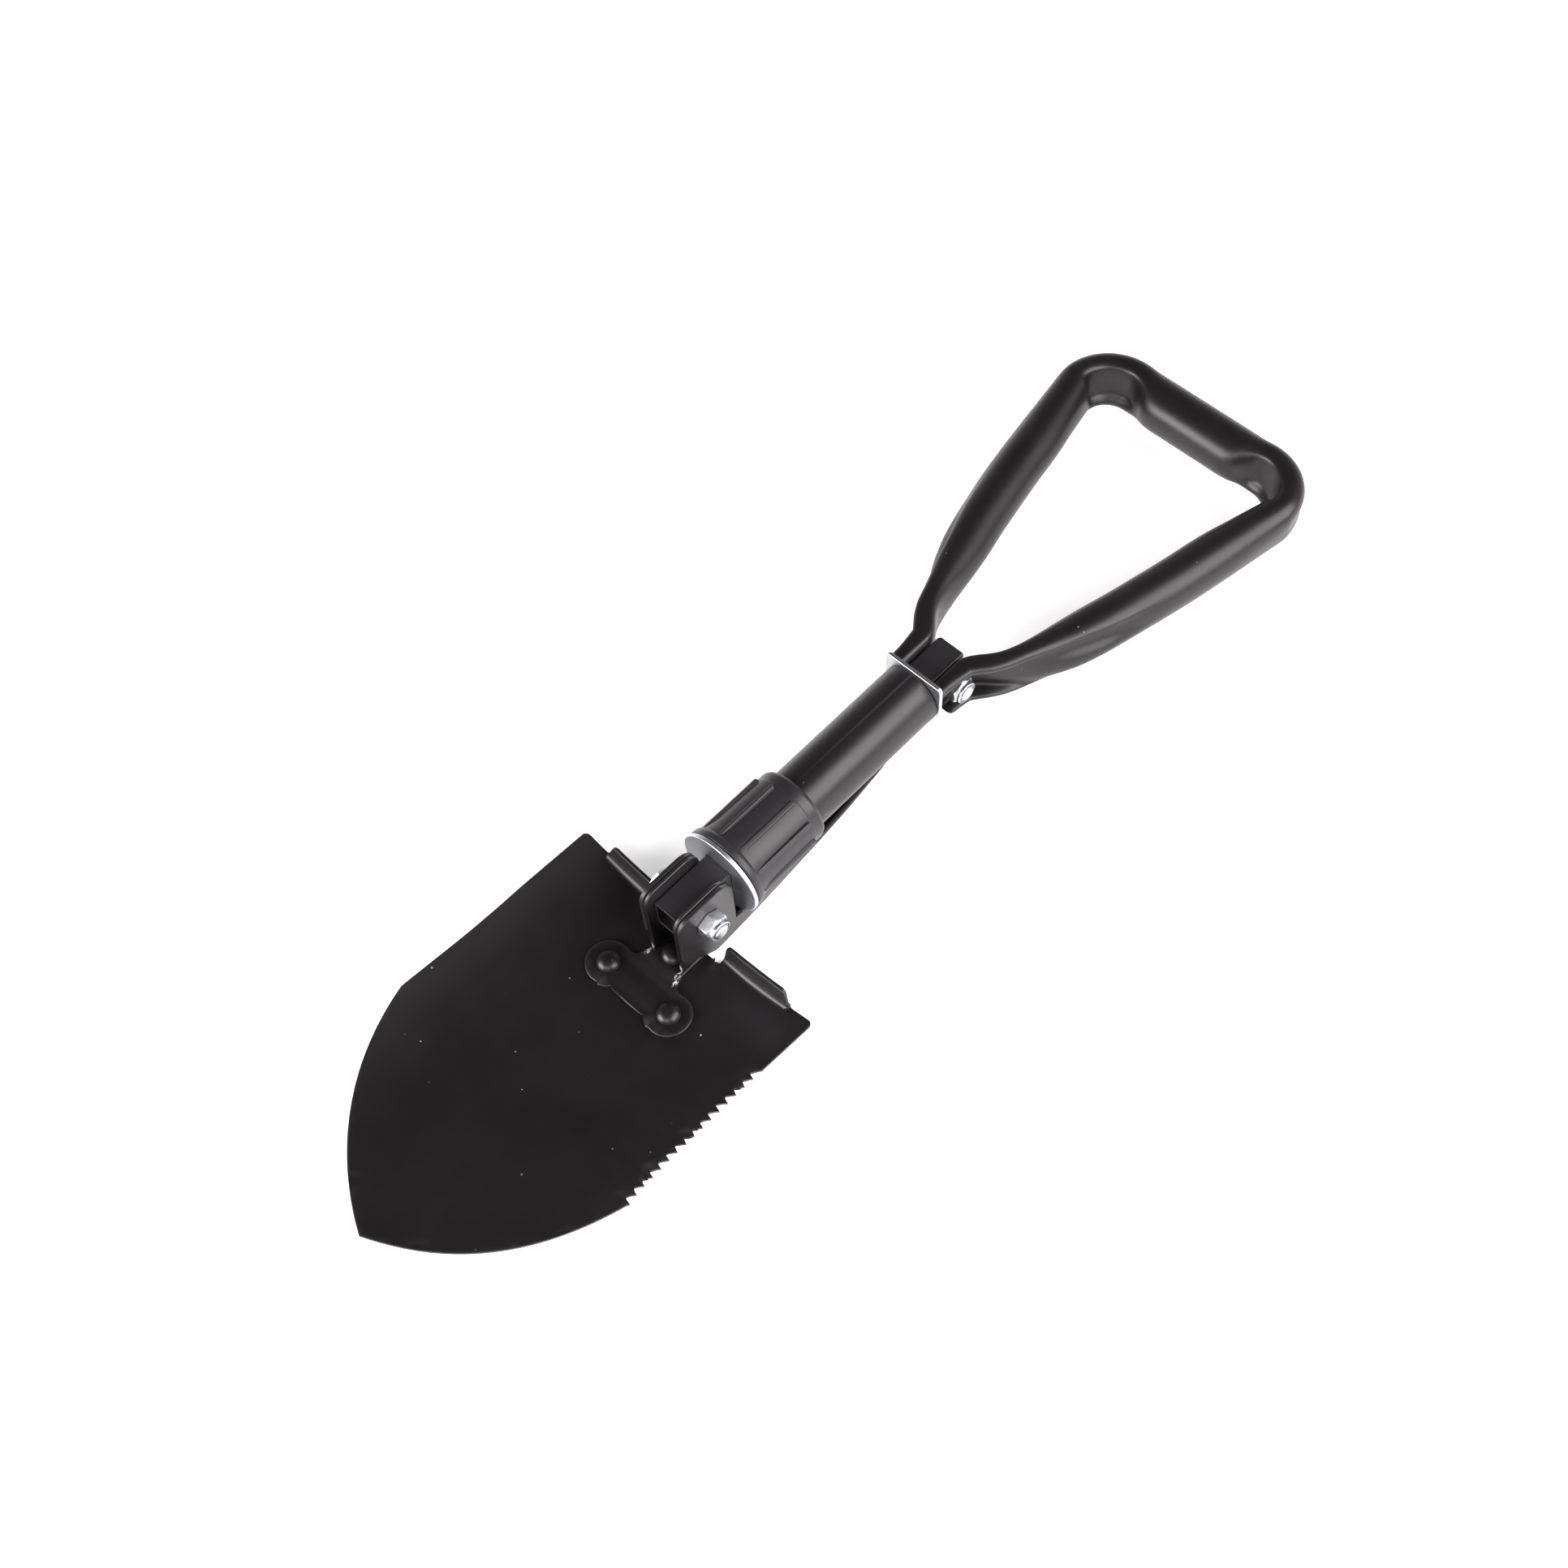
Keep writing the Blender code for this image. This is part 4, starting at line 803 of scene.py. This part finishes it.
def section_at(x, share_corner, radius, squat):
    """Blend of the root, corner and round sections, point by point around the loop."""
    rounded = mirrored_section(arc((0, 0), radius, 0, 180, len(ROOT_SECTION) - 1))
    points = zip(mirrored_section(ROOT_SECTION), CORNER_SECTION, rounded, ROOT_FADE_END)
    loop = []
    for root, corner, plain, fade in points:
        share_root = 1 - smoothstep(x, ROOT_FADE_START, fade)
        rest = 1 - share_root - share_corner
        out, up = (share_root * root[axis] + share_corner * corner[axis] + rest * plain[axis]
                   for axis in (0, 1))
        if root in ROOT_BEADS:
            out += ROOT_FLARE * smoothstep(x, *FLARE_RISE) * (1 - smoothstep(x, *FLARE_FALL))
        loop.append((out, up if up > 0 else up * squat))
    return loop


def grip_stations():
    """Half of the grip: centre point, outward direction, corner share, radius."""
    stations = []
    for index, (x, y) in enumerate(LEG_LINE):
        before = LEG_LINE[max(index - 1, 0)]
        after = LEG_LINE[min(index + 1, len(LEG_LINE) - 1)]
        run = Vector((after[0] - before[0], after[1] - before[1])).normalized()
        if index == 0:
            run = Vector((1, 0))
        outward = Vector((-run.y, run.x))
        corner = LEG_CORNER_SHARE * smoothstep(x, *LEG_CORNER_RISE)
        stations.append((Vector((x, y)), outward, corner, GRIP_TUBE))
    end = Vector(LEG_LINE[-1])
    slope = (LEG_LINE[-1][1] - LEG_LINE[-2][1]) / (LEG_LINE[-1][0] - LEG_LINE[-2][0])
    angle = math.atan(slope)
    apex = Vector((CROSSBAR_X, end.y + slope * (CROSSBAR_X - end.x)))
    turn = math.pi / 2 + angle
    start = apex - Vector((math.cos(angle), math.sin(angle))) * (GRIP_BEND * math.tan(turn / 2))
    centre = start + Vector((math.sin(angle), -math.cos(angle))) * GRIP_BEND
    bend_steps = 10
    for step in range(bend_steps + 1):
        direction = angle - turn * step / bend_steps
        outward = Vector((-math.sin(direction), math.cos(direction)))
        stations.append((centre + outward * GRIP_BEND, outward, smoothstep(0.8 * step, -2, 2), GRIP_TUBE))
    for share in (0.1, 0.2, 0.32, 0.46, 0.62, 0.8, 1.0):
        corner = 1 - smoothstep(share, 0.0, 0.42)
        radius = GRIP_TUBE + (CROSSBAR_RADIUS - GRIP_TUBE) * smoothstep(share, 0, 0.4)
        stations.append((Vector((CROSSBAR_X, centre.y * (1 - share))), Vector((1, 0)), corner, radius))
    return stations


def grip_loop(station, wall=0.0, shift=0.0):
    """Section of the grip at a station, its wall inset and its heel held near the pivot."""
    centre, outward, corner, radius = station
    squat = ROOT_SQUAT + (1 - ROOT_SQUAT) * smoothstep(centre.x, *SQUAT_FADE)
    squat += (LEG_SAG - 1) * smoothstep(centre.x, *SAG_RISE)
    section = section_at(centre.x, corner, radius, squat)
    if wall:
        section = inset_loop(section, wall)
    run = max(centre.x - GRIP_PIVOT_X, 0) / (CROSSBAR_X - GRIP_PIVOT_X)
    drop = ROOT_DROP + (GRIP_DROP - ROOT_DROP) * run
    loop = []
    for out, up in section:
        x = centre.x + outward.x * out + shift
        z = up - drop
        behind = GRIP_PIVOT_X - x
        reach = HEEL_REACH - wall
        if behind > 0 and z < 0:
            z = max(z, -math.sqrt(max(reach * reach - behind * behind, 0.0)) - HEEL_SLACK)
        loop.append(Vector((x, centre.y + outward.y * out, z)))
    return loop


def spline(points, steps, closed):
    """Points of a smooth curve through all the given points."""
    count = len(points)
    result = []
    for index in range(count if closed else count - 1):
        if closed:
            a, b, c, d = (points[(index + shift) % count] for shift in (-1, 0, 1, 2))
        else:
            a, b, c, d = (points[min(max(index + shift, 0), count - 1)] for shift in (-1, 0, 1, 2))
        for step in range(steps):
            t = step / steps
            result.append(0.5 * (2 * b + (c - a) * t + (2 * a - 5 * b + 4 * c - d) * t * t
                                 + (3 * b - 3 * c + d - a) * t ** 3))
    return result if closed else result + [points[-1]]


def mirror_loop(loop):
    return [Vector((point.x, -point.y, point.z)) for point in loop]


def moved_in(loop, distance):
    return [Vector((point.x + distance, point.y, point.z)) for point in loop]


def build_grip(material):
    """Smooth tube through the sections, with a rounded mouth that turns in at each leg's end."""
    stations = grip_stations()
    mouth = ((GRIP_WALL, 6.0), (GRIP_WALL, 0.3), (1.1, 0.0), (0.3, 0.0))
    rim = [spline(grip_loop(stations[0], wall, shift), 4, True) for wall, shift in mouth]
    half = [grip_loop(station) for station in stations]
    whole = half + [mirror_loop(loop) for loop in reversed(half[:-1])]
    rounded = [spline(loop, 4, True) for loop in whole]
    rows = [spline(list(row), 3, False) for row in zip(*rounded)]
    tube = [list(loop) for loop in zip(*rows)]
    far_rim = [mirror_loop(loop) for loop in reversed(rim)]
    loops = rim + [moved_in(tube[0], 0.3)] + tube[1:-1] + [moved_in(tube[-1], 0.3)] + far_rim
    add_piece("grip_fine", skin(loops), ["grip_tube"], material, 70, weighted=False)


# ---------------------------------------------------------------- finishes

def new_material(name):
    """A new node material, its tree and its shader."""
    material = bpy.data.materials.new(name)
    material.use_nodes = True
    tree = material.node_tree
    return material, tree, tree.nodes["Principled BSDF"]


def node(tree, kind, **values):
    """Add a node and set its named inputs or properties."""
    made = tree.nodes.new(kind)
    for key, value in values.items():
        if key in made.inputs:
            made.inputs[key].default_value = value
        else:
            setattr(made, key, value)
    return made


def noise(tree, vector, scale, detail=3.0, roughness=0.55):
    made = node(tree, "ShaderNodeTexNoise", Scale=scale, Detail=detail, Roughness=roughness)
    tree.links.new(vector, made.inputs["Vector"])
    return made.outputs["Fac"]


def object_place(tree):
    return tree.nodes.new("ShaderNodeTexCoord").outputs["Object"]


def ramp(tree, value, stops):
    """Read a value through (position, colour) stops."""
    made = tree.nodes.new("ShaderNodeValToRGB")
    elements = made.color_ramp.elements
    while len(elements) > 1:
        elements.remove(elements[0])
    elements[0].position, elements[0].color = stops[0][0], (*stops[0][1], 1.0)
    for position, colour in stops[1:]:
        elements.new(position).color = (*colour, 1.0)
    tree.links.new(value, made.inputs["Fac"])
    return made.outputs["Color"]


def grey(value):
    return (value, value, value)


def warm(value):
    """The studio's slightly warm white at a given strength."""
    return (value, 0.955 * value, 0.975 * value)


def mix(tree, factor, first, second):
    """Mix two colours, each a socket or a plain colour."""
    made = tree.nodes.new("ShaderNodeMix")
    made.data_type = "RGBA"
    tree.links.new(factor, made.inputs["Factor"])
    for socket, value in (("A", first), ("B", second)):
        target = [i for i in made.inputs if i.name == socket and i.type == "RGBA"][0]
        if isinstance(value, tuple):
            target.default_value = (*value, 1.0)
        else:
            tree.links.new(value, target)
    return [o for o in made.outputs if o.type == "RGBA"][0]


def calculate(tree, operation, *values):
    """One step of arithmetic on sockets and plain numbers."""
    made = tree.nodes.new("ShaderNodeMath")
    made.operation = operation
    for target, value in zip(made.inputs, values):
        if isinstance(value, float):
            target.default_value = value
        else:
            tree.links.new(value, target)
    return made.outputs[0]


def scaled(tree, value, factor, offset=0.0):
    return calculate(tree, "MULTIPLY_ADD", value, factor, offset)


def bump(tree, shader, height, strength, distance):
    made = node(tree, "ShaderNodeBump", Strength=strength, Distance=distance)
    tree.links.new(height, made.inputs["Height"])
    tree.links.new(made.outputs["Normal"], shader.inputs["Normal"])


def edge_mask(tree, low, high):
    """Near 1 on convex edges, 0 elsewhere."""
    geometry = tree.nodes.new("ShaderNodeNewGeometry")
    return ramp(tree, geometry.outputs["Pointiness"], [(low, grey(0.0)), (high, grey(1.0))])


def dust_mask(tree, place, amount):
    """Small round specks, thinned out by each cell's own random colour."""
    dots = node(tree, "ShaderNodeTexVoronoi", Scale=110.0)
    tree.links.new(place, dots.inputs["Vector"])
    small = ramp(tree, dots.outputs["Distance"], [(0.030, grey(1.0)), (0.060, grey(0.0))])
    split = tree.nodes.new("ShaderNodeSeparateColor")
    tree.links.new(dots.outputs["Color"], split.inputs["Color"])
    chosen = ramp(tree, split.outputs["Red"], [(0.45, grey(0.0)), (0.95, grey(amount))])
    return calculate(tree, "MULTIPLY", small, chosen)


def powder_coat(name, base=BLACK_PAINT, rough=0.40, specks=0.5):
    """Satin black powder coat: fine orange peel, faint mottling, dust specks, and lighter convex edges that are
    partly rubbed paint and partly a painted highlight.
    """
    material, tree, shader = new_material(name)
    place = object_place(tree)
    light = tuple(channel * 1.55 for channel in base)
    colour = ramp(tree, noise(tree, place, 38.0, 4.0), [(0.32, base), (0.70, light)])
    # Convex edges turn lighter: partly rubbed paint, partly a painted highlight
    edge_lightened = mix(tree, edge_mask(tree, 0.515, 0.60), colour, RUBBED_AND_HIGHLIT_PAINT)
    finished = mix(tree, dust_mask(tree, place, specks), edge_lightened, DUST)
    tree.links.new(finished, shader.inputs["Base Color"])
    smear = noise(tree, place, 14.0, 5.0, 0.6)
    tree.links.new(scaled(tree, smear, 0.16, rough - 0.08), shader.inputs["Roughness"])
    waves = scaled(tree, noise(tree, place, 260.0, 2.0), 0.4)
    peel = calculate(tree, "MULTIPLY_ADD", noise(tree, place, 900.0, 2.0), 0.6, waves)
    bump(tree, shader, peel, 0.22, 0.00012)
    return material


def spot_mask(tree, place, centre, half):
    """Near 1 inside a small rounded box of the shaft frame, 0 outside it."""
    shift = node(tree, "ShaderNodeMapping", vector_type="TEXTURE")
    shift.inputs["Location"].default_value = SHAFT_ORIGIN + Vector(centre) * MM
    shift.inputs["Scale"].default_value = Vector(half) * MM
    tree.links.new(place, shift.inputs["Vector"])
    distance = node(tree, "ShaderNodeVectorMath", operation="LENGTH")
    tree.links.new(shift.outputs["Vector"], distance.inputs[0])
    return ramp(tree, distance.outputs["Value"], [(0.55, grey(1.0)), (0.98, grey(0.0))])


def add_burrs(material, spots):
    """Bare metal scuffs inside the given spots."""
    tree = material.node_tree
    shader = tree.nodes["Principled BSDF"]
    place = object_place(tree)
    grain = ramp(tree, noise(tree, place, 900.0, 3.0, 0.7), [(0.47, grey(0.0)), (0.55, grey(1.0))])
    total = spot_mask(tree, place, *spots[0])
    for spot in spots[1:]:
        total = calculate(tree, "MAXIMUM", total, spot_mask(tree, place, *spot))
    factor = calculate(tree, "MULTIPLY", total, grain)
    base = shader.inputs["Base Color"].links[0].from_socket
    tree.links.new(mix(tree, factor, base, BARE_STEEL), shader.inputs["Base Color"])
    return material


def zinc(name, rough, tint):
    """Bright zinc plating: cool grey, soft clouding, fine drag lines, and near-white convex edges that are a
    painted highlight.
    """
    material, tree, shader = new_material(name)
    shader.inputs["Metallic"].default_value = 1.0
    place = object_place(tree)
    cloud = noise(tree, place, 60.0, 3.0)
    dark = tuple(channel * 0.86 for channel in tint)
    colour = ramp(tree, cloud, [(0.30, dark), (0.65, tint)])
    # Near-white colour on convex edges: a painted highlight on the rims
    edge_lightened = mix(tree, edge_mask(tree, 0.52, 0.62), colour, (0.93, 0.94, 0.95))
    tree.links.new(edge_lightened, shader.inputs["Base Color"])
    stretch = node(tree, "ShaderNodeMapping", Scale=(1.0, 0.12, 1.0))
    tree.links.new(place, stretch.inputs["Vector"])
    drag = noise(tree, stretch.outputs["Vector"], 1400.0, 2.0)
    tree.links.new(scaled(tree, cloud, 0.12, rough - 0.06), shader.inputs["Roughness"])
    bump(tree, shader, drag, 0.05, 0.00003)
    return material


def moulded_plastic(name, base=(0.016, 0.0155, 0.0165), rough=0.36):
    """Moulded plastic with a fine grain, a little sheen variation and lighter convex edges."""
    material, tree, shader = new_material(name)
    place = object_place(tree)
    patch = noise(tree, place, 45.0, 4.0)
    light = tuple(channel * 1.35 for channel in base)
    colour = ramp(tree, patch, [(0.30, base), (0.72, light)])
    # Convex edges are made lighter
    lighter_edges = mix(tree, edge_mask(tree, 0.52, 0.60), colour, tuple(min(c * 2.2 + 0.012, 1) for c in base))
    tree.links.new(lighter_edges, shader.inputs["Base Color"])
    tree.links.new(scaled(tree, patch, 0.16, rough - 0.06), shader.inputs["Roughness"])
    bump(tree, shader, noise(tree, place, 1500.0, 2.0), 0.20, 0.00008)
    return material


def turned_steel(name):
    """Plain grey steel with fine turning noise."""
    material, tree, shader = new_material(name)
    shader.inputs["Metallic"].default_value = 1.0
    place = object_place(tree)
    cloud = noise(tree, place, 200.0, 4.0)
    tree.links.new(ramp(tree, cloud, [(0.3, (0.30, 0.30, 0.31)), (0.7, (0.48, 0.48, 0.49))]),
                   shader.inputs["Base Color"])
    tree.links.new(scaled(tree, cloud, 0.2, 0.3), shader.inputs["Roughness"])
    bump(tree, shader, noise(tree, place, 1800.0, 2.0), 0.2, 0.00008)
    return material


# ---------------------------------------------------------------- surroundings

def build_floor():
    """Pale floor a hair below the shovel, so that nothing lies in its plane."""
    bm = bmesh.new()
    size, level = 6.0, -0.0003
    corners = ((-size, -size), (size, -size), (size, size), (-size, size))
    bm.faces.new([bm.verts.new((x, y, level)) for x, y in corners])
    mesh = bpy.data.meshes.new("floor")
    bm.to_mesh(mesh)
    bm.free()
    floor = bpy.data.objects.new("floor", mesh)
    bpy.context.scene.collection.objects.link(floor)
    material, tree, shader = new_material("pale_floor")
    shader.inputs["Base Color"].default_value = (0.93, 0.93, 0.93, 1)
    shader.inputs["Roughness"].default_value = 0.9
    shader.inputs["Specular IOR Level"].default_value = 0.1
    shader.inputs["Emission Color"].default_value = (1, 1, 1, 1)
    shader.inputs["Emission Strength"].default_value = 0.50
    mesh.materials.append(material)


def add_light(name, spot, target, size, power):
    """Rectangular softbox at a spot, facing a target; size in metres, power in watts."""
    light = bpy.data.lights.new(name, "AREA")
    light.shape = "RECTANGLE"
    light.size, light.size_y = size
    light.energy = power
    light.color = warm(1)
    lamp = bpy.data.objects.new(name, light)
    lamp.location = spot
    lamp.rotation_mode = "QUATERNION"
    lamp.rotation_quaternion = (Vector(target) - Vector(spot)).to_track_quat("-Z", "Y")
    bpy.context.scene.collection.objects.link(lamp)


def build_world():
    """Pale walls around the table and a dark ceiling, so flanks look grey and flat tops black."""
    world = bpy.data.worlds.new("studio")
    world.use_nodes = True
    tree = world.node_tree
    direction = tree.nodes.new("ShaderNodeTexCoord").outputs["Generated"]
    split = tree.nodes.new("ShaderNodeSeparateXYZ")
    tree.links.new(direction, split.inputs[0])
    shade = ramp(tree, split.outputs["Z"], [(0.0, warm(0.56)), (0.30, warm(0.40)), (0.60, warm(0.09)),
                                            (1.0, warm(0.045))])
    background = tree.nodes["Background"]
    tree.links.new(shade, background.inputs["Color"])
    background.inputs["Strength"].default_value = 1.0
    bpy.context.scene.world = world


def build_lights():
    add_light("side_softbox", (0.30, -0.95, 0.82), (0.0, 0.0, 0.03), (1.5, 0.95), 28)
    add_light("front_softbox", (-1.2, -0.6, 0.9), (0.0, 0.0, 0.0), (0.9, 0.9), 8)
    add_light("tip_softbox", (-1.25, 0.50, 0.52), (-0.1, 0.0, 0.03), (1.0, 0.8), 27)


def build_camera():
    data = bpy.data.cameras.new("camera")
    data.sensor_width = SENSOR_WIDTH
    data.lens = FOCAL_LENGTH
    data.clip_start, data.clip_end = 0.05, 30
    camera = bpy.data.objects.new("camera", data)
    place = Vector(CAMERA_PLACE) * MM + SHAFT_ORIGIN
    turned = Matrix((CAMERA_RIGHT, CAMERA_UP, CAMERA_BACK)).transposed().to_4x4()
    camera.matrix_world = Matrix.Translation(place) @ turned
    bpy.context.scene.collection.objects.link(camera)
    bpy.context.scene.camera = camera


def build_all():
    # The blade and bracket take the darker copy of the black paint, which is a painted shade
    build_blade(powder_coat("blade_powder_coat", SHADED_BLACK_PAINT, 0.38, 0.9))
    build_bracket(add_burrs(powder_coat("bracket_powder_coat", SHADED_BLACK_PAINT, 0.34, 0.9), BURRS))
    build_rivets(powder_coat("rivet_powder_coat", rough=0.32))
    build_pick(powder_coat("pick_powder_coat", rough=0.36, specks=0.8))
    bar_coat = powder_coat("bar_powder_coat", rough=0.36, specks=0.9)
    tube_coat = powder_coat("tube_powder_coat", rough=0.36)
    plate_zinc = zinc("plate_bright_zinc", 0.32, (0.64, 0.67, 0.70))
    washer_zinc = zinc("washer_bright_zinc", 0.38, (0.62, 0.65, 0.68))
    build_shaft(tube_coat, bar_coat, plate_zinc, washer_zinc, turned_steel("turned_steel"))
    build_collar(moulded_plastic("collar_black_plastic"))
    fastener = zinc("fastener_bright_zinc", 0.38, (0.60, 0.63, 0.66))
    nylon = moulded_plastic("insert_pale_nylon", (0.20, 0.21, 0.22), 0.45)
    for name, pivot_x, seat in (("blade_pivot", BLADE_PIVOT_X, CHEEK[1]),
                                ("grip_pivot", GRIP_PIVOT_X, GRIP_WEB_OUTER)):
        build_bolt(name + "_bolt", pivot_x, seat, fastener)
        build_nut(name + "_nut", pivot_x, seat, fastener, nylon)
    build_grip(powder_coat("grip_powder_coat", rough=0.38))
    build_floor()
    build_world()
    build_lights()
    build_camera()
    bpy.context.scene.view_settings.view_transform = "Standard"


build_all()
bpy.context.view_layer.update()
